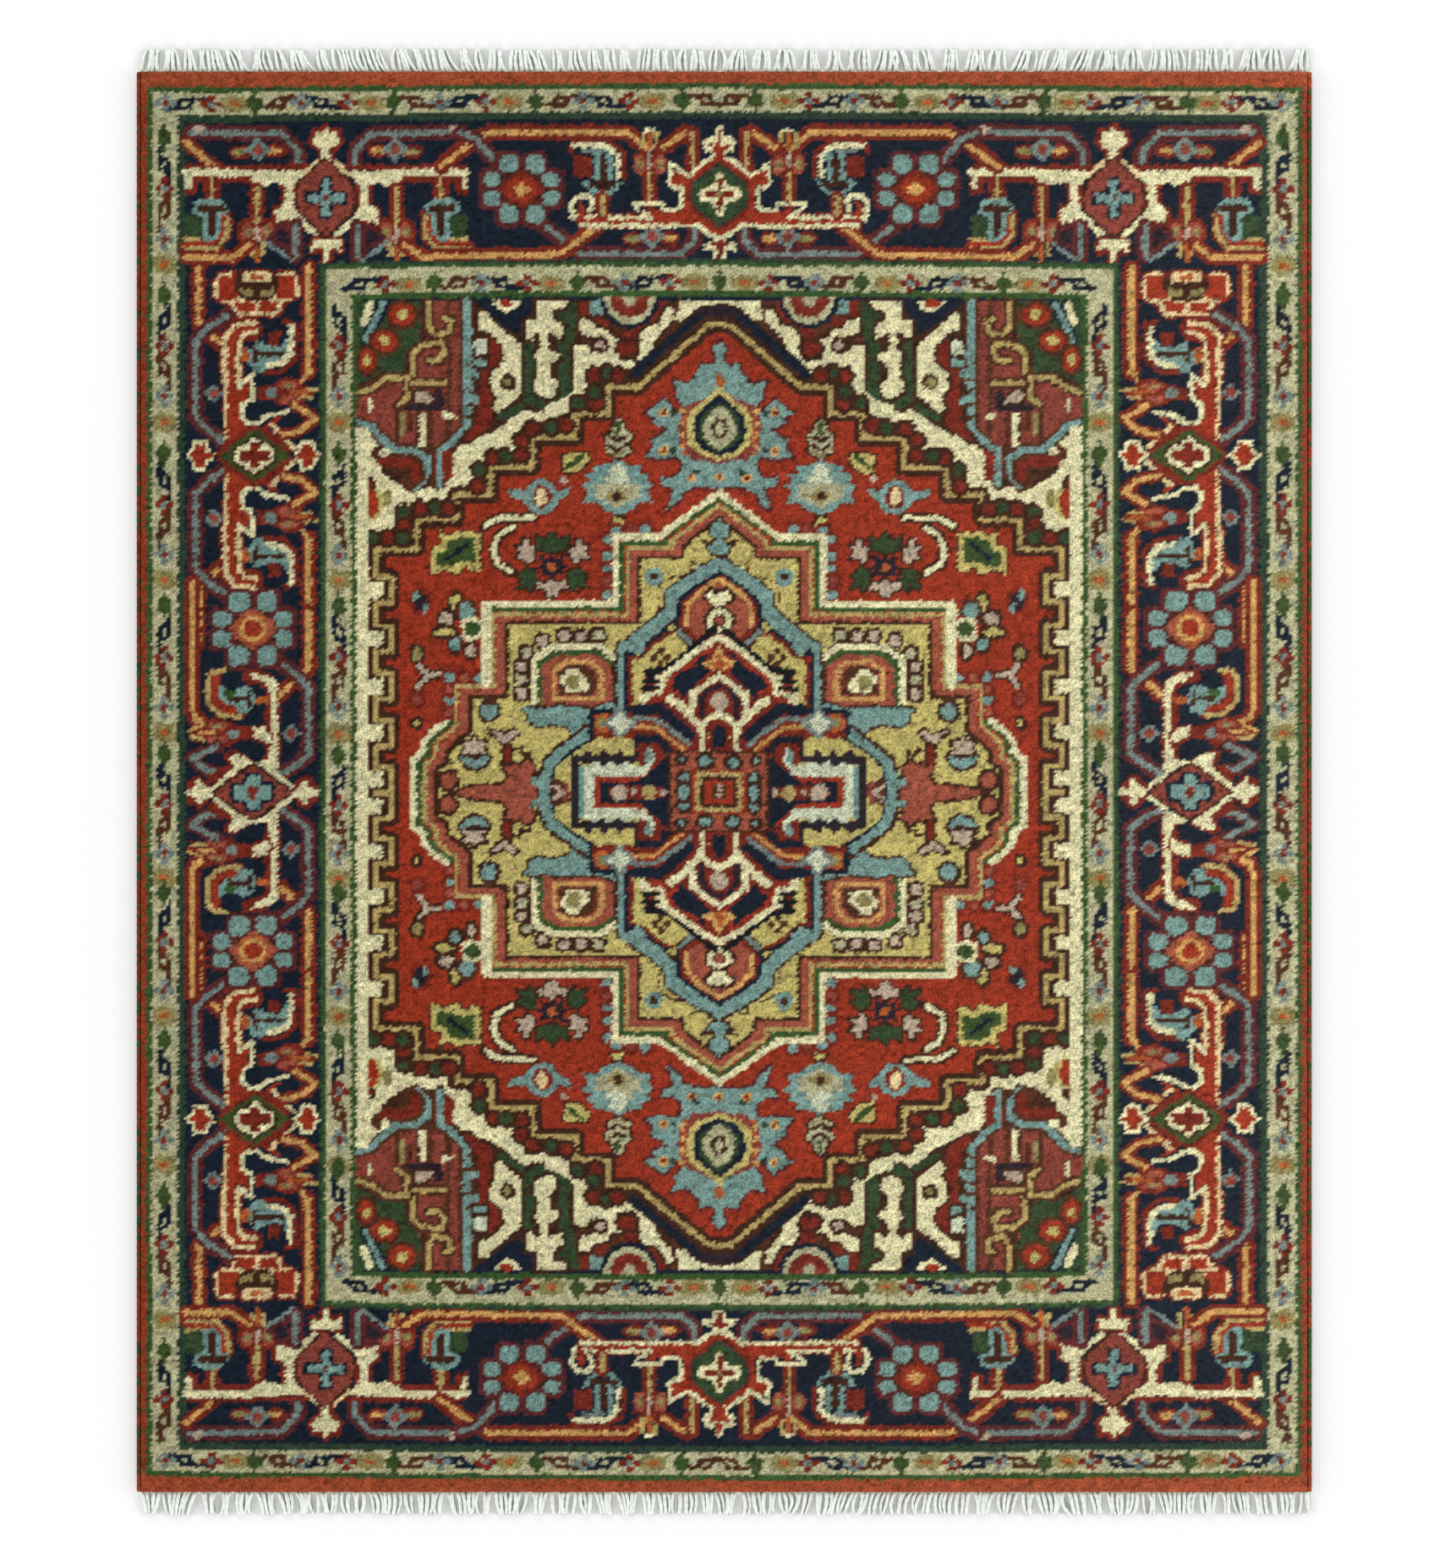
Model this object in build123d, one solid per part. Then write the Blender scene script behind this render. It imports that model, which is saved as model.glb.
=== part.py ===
"""Hand-knotted wool area rug with a cotton foundation, a central medallion and fringed ends.

The pile is laid out on the weaver's grid: one column is one knot wide, one row is one knot tall.
Units are millimetres, +Z is up, +X runs across the rug, +Y runs along the warps.
The origin is on the floor, under the middle of the rug.
"""
import math
import os

from build123d import *

# Overall size
RUG_WIDTH = 1220.0          # over both selvedges
PILE_LENGTH = 1473.0        # between the two end bands
COLUMNS = 222               # knots across, the selvedges taking one column each
ROWS = 341                  # knots along the warps

# Drift of the hand weaving: the knots widen towards one side, and the later rows are beaten tighter
KNOT_X = RUG_WIDTH / (COLUMNS + 2)
WIDE_FROM = 181             # columns beyond this one are wider
WIDE_RATIO = 43 / 41
UPPER_PITCH = 4.384         # row height in the upper half
LOWER_PITCH = (PILE_LENGTH - UPPER_PITCH * ROWS / 2) / (ROWS / 2)

# Thicknesses
FOUNDATION_T = 3.0          # warps and wefts beaten tight
PILE_T = 8.0                # clipped height of the wool above the foundation
SELVEDGE_T = 7.0            # overcast cord along each long side
BAND_T = 3.4                # weft-faced band that locks the last row of knots
BAND_W = 2.0

# Fringe: the free ends of the warps, one plied end for every column
STRAND_R = 1.3
STRAND_MIN = 20.0
STRAND_SPREAD = 4.0

# Borders, in knots from the outer edge: columns for the sides, rows for the ends
SIDE_STEPS = (1, 2, 10, 35, 42)
END_STEPS = (0, 4, 12, 46, 53)
BORDER_NAMES = ("edge", "outer_guard", "main_border", "inner_guard")

# Centre of the pattern in knots, and the stepped outlines of one quarter of it
CENTRE = (COLUMNS / 2, ROWS / 2)
MEDALLION = ((52, ROWS / 2), (52, 162), (55, 162), (55, 157), (60, 153), (60, 144), (66, 144), (66, 126),
             (91, 126), (91, 110), (99, 110), (111, 99))
STAIR = ((46, 112), (53, 112), (53, 105), (60, 105), (60, 99), (67, 99), (67, 93), (75, 93),
         (75, 86), (83, 86), (83, 80), (89, 80), (89, 74), (95, 74), (109, 59), (111, 59))

OUT = "parts"
os.makedirs(OUT, exist_ok=True)


def knot_to_mm(column, row):
    """Place of a knot corner in the rug's own frame."""
    wide = max(0, column - WIDE_FROM)
    x = -RUG_WIDTH / 2 + (column - wide + wide * WIDE_RATIO) * KNOT_X
    below = max(0, row - ROWS / 2)
    y = PILE_LENGTH / 2 - (row - below) * UPPER_PITCH - below * LOWER_PITCH
    return (x, y)


def mirrored(points, flip_x, flip_y):
    """The same outline in another quarter of the pattern, in knots."""
    cx, cy = CENTRE
    return [(2 * cx - c if flip_x else c, 2 * cy - r if flip_y else r) for c, r in points]


def slab(points, bottom, height):
    """A flat prism over an outline given in knots."""
    wire = Polyline(*[knot_to_mm(c, r) for c, r in points], close=True)
    return extrude(make_face(wire), amount=height).moved(Location((0, 0, bottom)))


def pile(points):
    """A panel of pile standing on the foundation."""
    return slab(points, FOUNDATION_T, PILE_T)


def rectangle(c0, r0, c1, r1):
    """Corners of a rectangle given in knots."""
    return [(c0, r0), (c1, r0), (c1, r1), (c0, r1)]


def save(name, shape):
    """Write one node."""
    shape.label = name
    export_step(shape, f"{OUT}/{name}.step")


def build_foundation():
    """The woven ground: every warp and weft between the two end bands."""
    save("foundation", slab(rectangle(1, 0, COLUMNS - 1, ROWS), 0, FOUNDATION_T))


def build_borders():
    """Four nested frames of pile; the end panels run through and the side panels fit between them."""
    for step, name in enumerate(BORDER_NAMES):
        c0, c1 = SIDE_STEPS[step], SIDE_STEPS[step + 1]
        r0, r1 = END_STEPS[step], END_STEPS[step + 1]
        left, right = c0, COLUMNS - c0
        save(f"pile_{name}_top", pile(rectangle(left, r0, right, r1)))
        save(f"pile_{name}_bottom", pile(rectangle(left, ROWS - r1, right, ROWS - r0)))
        save(f"pile_{name}_left", pile(rectangle(c0, r1, c1, ROWS - r1)))
        save(f"pile_{name}_right", pile(rectangle(COLUMNS - c1, r1, COLUMNS - c0, ROWS - r1)))


def quarter_limits(flip_x, flip_y):
    """The outer corner of one quarter of the field, in knots."""
    column = COLUMNS - SIDE_STEPS[-1] if flip_x else SIDE_STEPS[-1]
    row = ROWS - END_STEPS[-1] if flip_y else END_STEPS[-1]
    return column, row


def build_field():
    """Corner spandrels, the open field in four quarters, and the medallion in the middle."""
    quarters = {"nw": (False, False), "ne": (True, False), "sw": (False, True), "se": (True, True)}
    outline = []
    for name, (flip_x, flip_y) in quarters.items():
        column, row = quarter_limits(flip_x, flip_y)
        stair = mirrored(STAIR, flip_x, flip_y)
        lozenge = mirrored(MEDALLION, flip_x, flip_y)
        corner = [(column, stair[0][1])] + stair + [(stair[-1][0], row), (column, row)]
        save(f"pile_spandrel_{name}", pile(corner))
        field = [(column, CENTRE[1])] + lozenge + stair[::-1] + [(column, stair[0][1])]
        save(f"pile_field_{name}", pile(field))
    for flip_x, flip_y in ((False, False), (True, False), (True, True), (False, True)):
        side = mirrored(MEDALLION, flip_x, flip_y)
        outline += side[:-1] if flip_x == flip_y else side[::-1][:-1]
    save("pile_medallion", pile(outline))


def build_selvedges():
    """Bundled outer warps overcast with wool: one cord along each long side."""
    for name, side in (("left", -1), ("right", 1)):
        inner = knot_to_mm(1 if side < 0 else COLUMNS - 1, 0)[0]
        width = RUG_WIDTH / 2 - abs(inner)
        x = side * (RUG_WIDTH - width) / 2
        cord = Box(width, PILE_LENGTH, SELVEDGE_T, align=(Align.CENTER, Align.CENTER, Align.MIN))
        cord = fillet(cord.edges().filter_by(Axis.Y), radius=2.2)
        save(f"selvedge_{name}", cord.moved(Location((x, 0, 0))))


def build_end_bands():
    """Weft-faced bands beyond the last row of knots."""
    for name, side in (("top", 1), ("bottom", -1)):
        y = side * (PILE_LENGTH + BAND_W) / 2
        band = Box(RUG_WIDTH, BAND_W, BAND_T, align=(Align.CENTER, Align.CENTER, Align.MIN))
        save(f"end_band_{name}", band.moved(Location((0, y, 0))))


def strand_length(index):
    """Hand-cut fringe is slightly uneven from end to end."""
    return STRAND_MIN + STRAND_SPREAD * (0.5 + 0.5 * math.sin(index * 2.4) * math.cos(index * 0.37))


def build_fringes():
    """Free warp ends beyond each band, lying on the floor."""
    for name, side in (("top", 1), ("bottom", -1)):
        strands = []
        for index in range(COLUMNS):
            length = strand_length(index + (0 if side > 0 else 57))
            x = knot_to_mm(index + 0.5, 0)[0]
            y = side * (PILE_LENGTH / 2 + BAND_W + length / 2)
            strand = Cylinder(STRAND_R, length, rotation=(90, 0, 0))
            strands.append(strand.moved(Location((x, y, STRAND_R))))
        save(f"fringe_{name}", Compound(children=strands))


build_foundation()
build_borders()
build_field()
build_selvedges()
build_end_bands()
build_fringes()
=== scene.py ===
"""Looks for a hand-knotted medallion rug: wool pile, cotton ground, overcast sides and cotton fringe.

The pile is dyed knot by knot from a cartoon, the squared drawing that a weaver works from. The cartoon
is drawn once, for the upper left quarter, in knots counted from the rug's own corner: x runs across the
columns and y runs down the rows. The other quarters are its mirror images. Only the guards down the sides
are drawn for the whole length.
"""
import math

import bmesh
import bpy
import numpy as np
from bpy.props import FloatProperty, FloatVectorProperty, IntProperty, PointerProperty
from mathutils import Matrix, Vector


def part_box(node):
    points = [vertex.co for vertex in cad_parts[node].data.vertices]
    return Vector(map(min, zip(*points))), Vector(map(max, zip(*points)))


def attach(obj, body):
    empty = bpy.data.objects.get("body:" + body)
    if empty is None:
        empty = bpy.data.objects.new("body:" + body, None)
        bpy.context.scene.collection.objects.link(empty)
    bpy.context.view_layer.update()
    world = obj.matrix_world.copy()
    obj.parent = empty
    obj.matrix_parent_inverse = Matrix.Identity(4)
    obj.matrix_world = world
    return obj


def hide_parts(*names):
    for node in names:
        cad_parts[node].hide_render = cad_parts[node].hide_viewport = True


bl_info = {
    "name": "Knotted medallion rug",
    "version": (1, 0, 0),
    "blender": (4, 5, 0),
    "location": "3D View > Sidebar > Rug",
    "description": "Builds the pile, ground, sides and fringe of a hand-knotted rug on its frame",
    "category": "Add Mesh",
}

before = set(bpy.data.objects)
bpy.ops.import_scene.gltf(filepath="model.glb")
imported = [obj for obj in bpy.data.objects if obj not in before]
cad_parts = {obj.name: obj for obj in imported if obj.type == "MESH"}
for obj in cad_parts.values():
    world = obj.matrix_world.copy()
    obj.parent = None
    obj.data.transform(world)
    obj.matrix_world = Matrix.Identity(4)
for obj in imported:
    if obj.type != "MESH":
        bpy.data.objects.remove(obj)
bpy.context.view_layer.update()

# The weaver's grid, the same as the frame's
COLUMNS, ROWS = 222, 341
HALF_COLUMNS, HALF_ROWS = COLUMNS / 2, ROWS / 2
RUG_WIDTH, PILE_LENGTH = 1.220, 1.473
KNOT_X = RUG_WIDTH / (COLUMNS + 2)
WIDE_FROM, WIDE_RATIO = 181, 43 / 41     # from this column on, columns are a little wider
UPPER_PITCH = 0.004384                   # length of a row in the upper half
LOWER_PITCH = (PILE_LENGTH - UPPER_PITCH * HALF_ROWS) / HALF_ROWS
SIDE_STEPS = (1, 2, 10, 35, 42)          # columns where the borders start and stop
END_STEPS = (0, 4, 12, 46, 53)           # and rows
BORDERS = ("edge", "outer_guard", "main_border", "inner_guard")

PARTS = 2                # mesh steps across one knot
FINE = 4                 # cartoon cells across one knot
KNOT_SHAPE = 0.805       # height of a knot over its width
EDGE_DROP = 0.0024       # how far the outermost tufts lean down
BACK_TINT = 0.9          # the backs of the knots are a little darker
BACK_RELIEF = 0.0002     # and every second one clears the floor by this
WRAPS = 460              # turns of wool round each side
BAND_WEFTS = 5           # wefts across each end band
BAND_FOOT = 0.0008       # height of the band's edge
FRINGE_INSET = 0.0015    # first and last end from the corners
FRINGE_TUCK = 0.0012     # how far an end starts under its band
SENSOR = 36              # width of the camera's film, in millimetres
ROOT = "root"

# Rows of the teeth in the side of the red field
CRENELS = (122.6, 134, 145.2, 156.3, 167.3)


def srgb(r, g, b):
    """A colour as the eye reads it, 0 to 255, as the shader wants it."""
    return tuple((v / 255 / 12.92) if v <= 10 else ((v / 255 + 0.055) / 1.055) ** 2.4 for v in (r, g, b))


def dye(label, r, g, b):
    """One wool colour that a user can change."""
    return FloatVectorProperty(name=label, description=f"Wool dyed {label.lower()}", subtype="COLOR",
                               size=3, min=0, max=1, default=srgb(r, g, b))


class RugDyes(bpy.types.PropertyGroup):
    """Colours of the wool and the cotton."""
    red: dye("Madder red", 148, 49, 27)
    edge: dye("Edge red", 138, 56, 34)
    brick: dye("End edge red", 156, 72, 42)
    rust: dye("Rust", 116, 38, 24)
    wine: dye("Wine", 88, 36, 36)
    rose: dye("Rose", 132, 62, 50)
    terra: dye("Terracotta", 152, 78, 58)
    orange: dye("Orange", 168, 88, 42)
    peach: dye("Peach", 197, 151, 88)
    gold: dye("Gold", 186, 172, 102)
    line: dye("Old gold", 174, 152, 94)
    cream: dye("Cream", 216, 209, 164)
    ivory: dye("Ivory", 216, 192, 142)
    beige: dye("Beige", 176, 173, 134)
    olive: dye("Olive", 138, 128, 80)
    green: dye("Leaf green", 54, 82, 40)
    forest: dye("Forest green", 48, 68, 40)
    moss: dye("Moss", 56, 76, 36)
    teal: dye("Dark teal", 42, 62, 46)
    navy: dye("Navy", 17, 28, 42)
    plum: dye("Aubergine", 40, 30, 38)
    blue: dye("Soft blue", 114, 146, 138)
    slate: dye("Slate", 112, 126, 120)
    brown: dye("Dark brown", 62, 34, 20)
    umber: dye("Umber", 80, 44, 26)
    grey: dye("Stone grey", 170, 166, 130)
    pink: dye("Dusty pink", 180, 160, 138)
    pale: dye("Pale blue", 196, 202, 172)
    black: dye("Black", 16, 20, 22)


DYES = list(RugDyes.__annotations__)
INDEX = {name: number for number, name in enumerate(DYES)}


class RugYarn(bpy.types.PropertyGroup):
    """How the wool and the cotton lie."""
    pile_top: FloatProperty(name="Pile top", description="Height of the clipped wool above the floor",
                            default=0.011, min=0.006, max=0.02, unit="LENGTH")
    ground_top: FloatProperty(name="Ground top", description="Top of the cotton ground",
                              default=0.003, min=0.001, max=0.006, unit="LENGTH")
    unevenness: FloatProperty(name="Unevenness", description="How far a tuft stands above or below the next",
                              default=0.0005, min=0, max=0.002, unit="LENGTH")
    wander: FloatProperty(name="Wander", description="How far the drawing drifts from the grid, in knots",
                          default=0.18, min=0, max=1)
    fuzz: FloatProperty(name="Fuzz", description="How ragged the edge between two colours is, in knots",
                        default=0.18, min=0, max=0.6)
    shade: FloatProperty(name="Shade", description="Difference in dye from knot to knot",
                         default=0.13, min=0, max=0.4, subtype="FACTOR")
    ends_per_column: IntProperty(name="Fringe ends", description="Cotton ends in the fringe for each column",
                                 default=1, min=1, max=3)
    seed: IntProperty(name="Seed", description="Start of the random draws", default=11, min=0)


class RugStage(bpy.types.PropertyGroup):
    """Light and camera."""
    lens: FloatProperty(name="Lens", description="Focal length", default=85, min=20, max=200)
    view_long: FloatProperty(name="View", description="Length of floor that the camera sees",
                             default=1.626, min=0.5, max=5, unit="LENGTH")
    low: FloatProperty(name="Low lights", description="Power of each of the four soft lights round the rug",
                       default=195, min=0, unit="POWER")
    high: FloatProperty(name="High light", description="Power of the soft light overhead", default=20, min=0,
                        unit="POWER")

# Stepped outlines of one quarter of the design, the same as the frame's
MEDALLION = ((52, HALF_ROWS), (52, 162), (55, 162), (55, 157), (60, 153), (60, 144), (66, 144), (66, 126),
             (91, 126), (91, 110), (99, 110), (111, 99))
STAIR = ((46, 112), (53, 112), (53, 105), (60, 105), (60, 99), (67, 99), (67, 93), (75, 93),
         (75, 86), (83, 86), (83, 80), (89, 80), (89, 74), (95, 74), (109, 59), (111, 59))


# ---------------------------------------------------------------- the cartoon

class Cartoon:
    """Squared drawing of one quarter of the design, in knots from its outer corner."""

    def __init__(self, columns, rows):
        h, w = int(round(rows * FINE)), int(round(columns * FINE))
        self.cells = np.zeros((h, w), np.int16)
        self.x, self.y = np.meshgrid((np.arange(w) + 0.5) / FINE, (np.arange(h) + 0.5) / FINE)
        self.flip_x = self.flip_y = None

    def _views(self):
        """The mirror lines to draw with, in turn; None is the drawing itself."""
        for fx in ((None,) if self.flip_x is None else (None, self.flip_x)):
            for fy in ((None,) if self.flip_y is None else (None, self.flip_y)):
                yield fx, fy

    def _window(self, pts, grow):
        """The cells round some points."""
        x, y = pts[:, 0], pts[:, 1]
        h, w = self.cells.shape
        c0, c1 = int(max(0, (x.min() - grow) * FINE - 1)), int(min(w, (x.max() + grow) * FINE + 2))
        r0, r1 = int(max(0, (y.min() - grow) * FINE - 1)), int(min(h, (y.max() + grow) * FINE + 2))
        return slice(r0, r1), slice(c0, c1)

    def _paint(self, colour, flat, test, grow):
        """Colours the cells that pass a test, in every view."""
        base = np.array(flat, float).reshape(-1, 2)
        for fx, fy in self._views():
            pts = base.copy()
            if fx is not None:
                pts[:, 0] = 2 * fx - pts[:, 0]
            if fy is not None:
                pts[:, 1] = 2 * fy - pts[:, 1]
            win = self._window(pts, grow)
            if win[0].stop <= win[0].start or win[1].stop <= win[1].start:
                continue
            mask = test(self.x[win], self.y[win], pts)
            self.cells[win][mask] = INDEX[colour]

    def fill(self, colour, *flat):
        """Polygon."""
        def test(x, y, p):
            inside = np.zeros(x.shape, bool)
            q = np.roll(p, -1, axis=0)
            for (x1, y1), (x2, y2) in zip(p, q):
                if y1 == y2:
                    continue
                cross = ((y1 > y) != (y2 > y)) & (x < (x2 - x1) * (y - y1) / (y2 - y1) + x1)
                inside ^= cross
            return inside
        self._paint(colour, flat, test, 1)

    def line(self, colour, width, *flat):
        """Polyline; width in columns."""
        def test(x, y, p):
            best = np.full(x.shape, 1e9)
            for (x1, y1), (x2, y2) in zip(p[:-1], p[1:]):
                dx, dy = x2 - x1, (y2 - y1) * KNOT_SHAPE
                n = dx * dx + dy * dy + 1e-9
                t = np.clip(((x - x1) * dx + (y - y1) * KNOT_SHAPE * dy) / n, 0, 1)
                best = np.minimum(best, (x - x1 - t * dx) ** 2 + ((y - y1) * KNOT_SHAPE - t * dy) ** 2)
            return best <= (width / 2) ** 2
        self._paint(colour, flat, test, width)

    def box(self, colour, x0, y0, x1, y1):
        """Upright rectangle."""
        self.fill(colour, x0, y0, x1, y0, x1, y1, x0, y1)

    def oval(self, colour, cx, cy, rx, ry):
        """Ellipse about a centre."""
        def test(x, y, p):
            return ((x - p[0, 0]) / rx) ** 2 + ((y - p[0, 1]) / ry) ** 2 <= 1
        self._paint(colour, (cx, cy), test, max(rx, ry) + 1)

    def diamond(self, colour, cx, cy, rx, ry):
        """Diamond about a centre."""
        self.fill(colour, cx, cy - ry, cx + rx, cy, cx, cy + ry, cx - rx, cy)

    def edged(self, edge, width, colour, *flat):
        """Polygon with an outline."""
        self.line(edge, 2 * width, *flat, flat[0], flat[1])
        self.fill(colour, *flat)

    def ribbon(self, core, edge, *flat, width=1.05, total=3.0):
        """A stripe between two darker stripes."""
        self.line(edge, total, *flat)
        self.line(core, width, *flat)

    def bud(self, colour, cx, cy, rx, ry, edge="brown"):
        """Ellipse with an outline."""
        self.oval(edge, cx, cy, rx + 0.8, ry + 1.0)
        self.oval(colour, cx, cy, rx, ry)


# Each function below draws one part of the design on the cartoon k. A shape that crosses a centre line is
# drawn as a half that ends just past it, at column 111.5 or row 171.

def peach(k, *flat):
    """Peach stem with rust sides."""
    k.ribbon("peach", "rust", *flat)


def slate(k, *flat):
    """Slate stem with wine sides."""
    k.ribbon("slate", "wine", *flat)


def pocket_flower(k, x, y):
    """Small slate flower with a leaf on either side."""
    k.oval("rust", x - 3.3, y + 0.5, 2.2, 1.7)
    k.oval("rust", x + 3.3, y + 0.4, 2.2, 1.7)
    k.oval("olive", x - 3.4, y + 0.5, 1.5, 0.8)
    k.oval("peach", x + 3.3, y + 0.4, 1.5, 0.8)
    k.diamond("slate", x, y, 2.5, 3.1)
    k.oval("rose", x, y, 0.95, 1.3)


def rosette(k, x, y, sx=1.0, sy=1.0, ring=False):
    """Rosette of eight blue petals round a red heart; ring gives the larger, ringed heart."""
    for grow, colour in ((0.95, "wine"), (0.0, "blue")):
        for px, py, rx, ry in ((2.5, 5.9, 1.75, 2.1), (5.6, 2.2, 1.5, 1.7)):
            for ux in (-1, 1):
                for uy in (-1, 1):
                    cx, cy = x + ux * px * sx, y + uy * py * sy
                    gx, gy = rx * sx + grow, ry * sy + grow * 1.2
                    k.box(colour, cx - gx, cy - gy * 0.72, cx + gx, cy + gy * 0.72)
                    k.box(colour, cx - gx * 0.72, cy - gy, cx + gx * 0.72, cy + gy)
    k.edged("brown", 0.4, "terra" if ring else "rust", x, y - 4.9 * sy, x + 2.4 * sx, y - 2.8 * sy,
            x + 4.6 * sx, y, x + 2.4 * sx, y + 2.8 * sy, x, y + 4.9 * sy, x - 2.4 * sx, y + 2.8 * sy,
            x - 4.6 * sx, y, x - 2.4 * sx, y - 2.8 * sy)
    if ring:
        k.oval("orange", x, y, 3.0, 3.6)
        k.oval("peach", x, y, 2.5, 3.0)
        k.oval("red", x, y, 1.7, 2.0)
    else:
        k.oval("red", x, y, 2.9, 3.0)
        k.box("peach", x - 0.6, y - 1.6, x + 0.6, y + 1.6)
        k.box("peach", x - 1.5, y - 0.6, x + 1.5, y + 0.9)


def frame_step(k, colour, column, row):
    """Everything inside one line of the nested frames; the weaving bows outwards a little at mid-width."""
    k.fill(colour, column, row, 50, row - 0.4, 80, row - 0.8, 112, row - 0.9, 112, 172, column, 172)


def frames(k):
    """Plain stripes and grounds of the nested frames."""
    k.box("edge", 0, 0, 112, 172)
    k.box("brick", 0, 0, 112, 5)
    for colour, column, row in (("green", 2.1, 3.7), ("beige", 3.0, 5.0), ("teal", 8.0, 10.3),
                                ("navy", 9.4, 12.0)):
        frame_step(k, colour, column, row)


def inner_frames(k):
    """Stripes of the inner guard, over the ends of the border and of the corner drawing."""
    for colour, c0, c1, r0, r1 in (("teal", 35.0, 35.6, 45.2, 46.0), ("green", 35.5, 36.4, 45.9, 46.9),
                                   ("beige", 36.3, 41.1, 46.8, 52.8), ("green", 41.0, 42.1, 52.7, 54.1)):
        k.fill(colour, c0, r0, 50, r0 - 0.4, 80, r0 - 0.8, 112, r0 - 0.9, 112, r1 - 0.9, 80, r1 - 0.8,
               50, r1 - 0.4, c0, r1)
        k.box(colour, c0, r0, c1, 172)
    k.box("cream", 42.1, 84, 44.2, 172)


def corner_unit(k):
    """Palmette diamond with its two mirrored arms."""
    k.flip_x = 36.3
    slate(k, 10.5, 14.4, 27.6, 14.6, 30.9, 18.8, 30.9, 22.5)
    k.oval("pink", 12, 13.7, 1.0, 1.0)
    k.ribbon("peach", "rust", 9.6, 16.8, 15.3, 22.8, total=2.6)
    pocket_flower(k, 23.2, 18.4)
    k.box("rust", 9.6, 21.9, 33, 23.2)
    k.fill("rust", 9.4, 24, 23, 24, 23, 26, 10, 29.2, 9.4, 29.2)
    k.box("navy", 11.8, 26.2, 12.9, 28.6)
    k.box("navy", 16.2, 26.2, 20.7, 28.6)
    k.ribbon("line", "rust", 14.6, 25.4, 14.6, 30.2, width=0.9, total=2.8)
    k.line("rust", 3.4, 29.1, 26, 29.1, 31, 27.6, 33, 27.4, 36)
    k.box("navy", 24.8, 27.6, 27.6, 31.5)
    k.line("cream", 1.3, 9.6, 23.9, 22, 23.9)
    k.box("cream", 9.5, 24, 10.7, 28)
    k.fill("cream", 21.5, 23.2, 32.8, 23.6, 31.4, 25.2, 29.9, 27, 29.9, 31, 30.4, 33.2, 35, 38.5,
           34.2, 39.4, 30.4, 35.4, 28.7, 35, 27.5, 36.8, 26.7, 36.4, 26.6, 32.8, 28.4, 31, 28.4, 26.5,
           26.2, 26.6, 24.2, 27.2, 22.4, 26.2)
    k.line("ivory", 0.9, 35.8, 20.2, 32, 24.4)
    # shield at the outer end
    k.line("rust", 2.4, 17.3, 34, 17.2, 38.5, 15.2, 41.3, 9.4, 41.6)
    k.line("line", 0.9, 17.6, 34.5, 17.4, 38.6, 15.4, 41.8, 9.4, 42)
    k.line("line", 0.8, 9.4, 39.6, 12.8, 40)
    k.line("red", 0.9, 16.7, 34.4, 16.6, 38, 14.8, 40.5, 9.4, 40.9)
    k.fill("blue", 11, 31, 12.5, 30.1, 16, 30.1, 17.6, 32, 17.6, 33.6, 16.3, 34, 16.2, 38.2, 14.6, 40.3,
           12.9, 40, 12.6, 37, 13.2, 34.8, 11, 33.4)
    k.fill("forest", 9.6, 34, 12.4, 34, 13.1, 35, 12.4, 39.6, 9.6, 39)
    k.line("brown", 1.3, 12.4, 32.4, 16.6, 32.4)
    k.line("brown", 1.4, 14.6, 32.4, 14.5, 38.4)
    # tree on its stem
    k.ribbon("line", "rust", 23, 27.8, 23, 36, width=0.9, total=2.8)
    for lx in (21.2, 25):
        k.bud("terra", lx, 38, 1.2, 2.4, "rust")
        k.oval("olive", lx, 38, 0.6, 1.3)
    k.oval("pink", 23, 38.4, 0.6, 2.0)
    for lx in (22, 24.1):
        k.line("line", 0.8, lx, 40.8, lx, 43.4)
    k.line("orange", 0.8, 23, 40.8, 23, 44.8)
    k.ribbon("peach", "rust", 9.4, 44, 18.3, 44, 21.6, 40.8, total=2.8)
    # small leaf below the arm
    k.line("wine", 0.9, 27.6, 35.9, 29.8, 38.5, 29.6, 42.5, 25.2, 39.5, 27.6, 35.9)
    k.fill("plum", 27.6, 36.8, 29.2, 39, 29, 41.4, 26, 39.3)
    slate(k, 30.4, 36.6, 30.4, 43.6)
    k.line("slate", 0.8, 24.9, 40.4, 29.8, 44.8)
    k.flip_x = None
    k.edged("rust", 0.8, "cream", 36.2, 13.2, 37, 14.6, 38.4, 14.4, 38.2, 15.4, 38.9, 16.4, 38, 17.8,
            36.9, 18.6, 36.9, 21, 35.5, 21, 35.5, 18.6, 34.4, 17.8, 33.5, 16.4, 34.2, 15.4, 34, 14.4,
            35.4, 14.6)
    k.edged("rust", 0.7, "cream", 33.6, 39.8, 38.9, 39.8, 38.9, 42.7, 37.7, 41.7, 36.9, 42.3, 36.7, 44.9,
            35.8, 44.9, 35.6, 42.3, 34.8, 41.7, 33.6, 42.7)
    k.edged("brown", 0.5, "rose", 36.1, 20.9, 40.7, 26.2, 41.6, 29.8, 41.2, 33, 36.1, 39.2, 31, 33,
            30.6, 29.8, 31.5, 26.2)
    k.box("navy", 35, 25, 37.4, 35)
    k.box("navy", 32, 28.4, 40.2, 31.4)
    k.box("blue", 35.5, 25.6, 36.9, 34.4)
    k.box("blue", 32.7, 29, 39.6, 30.9)
    k.box("rust", 35.7, 29.2, 36.6, 30.7)


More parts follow.
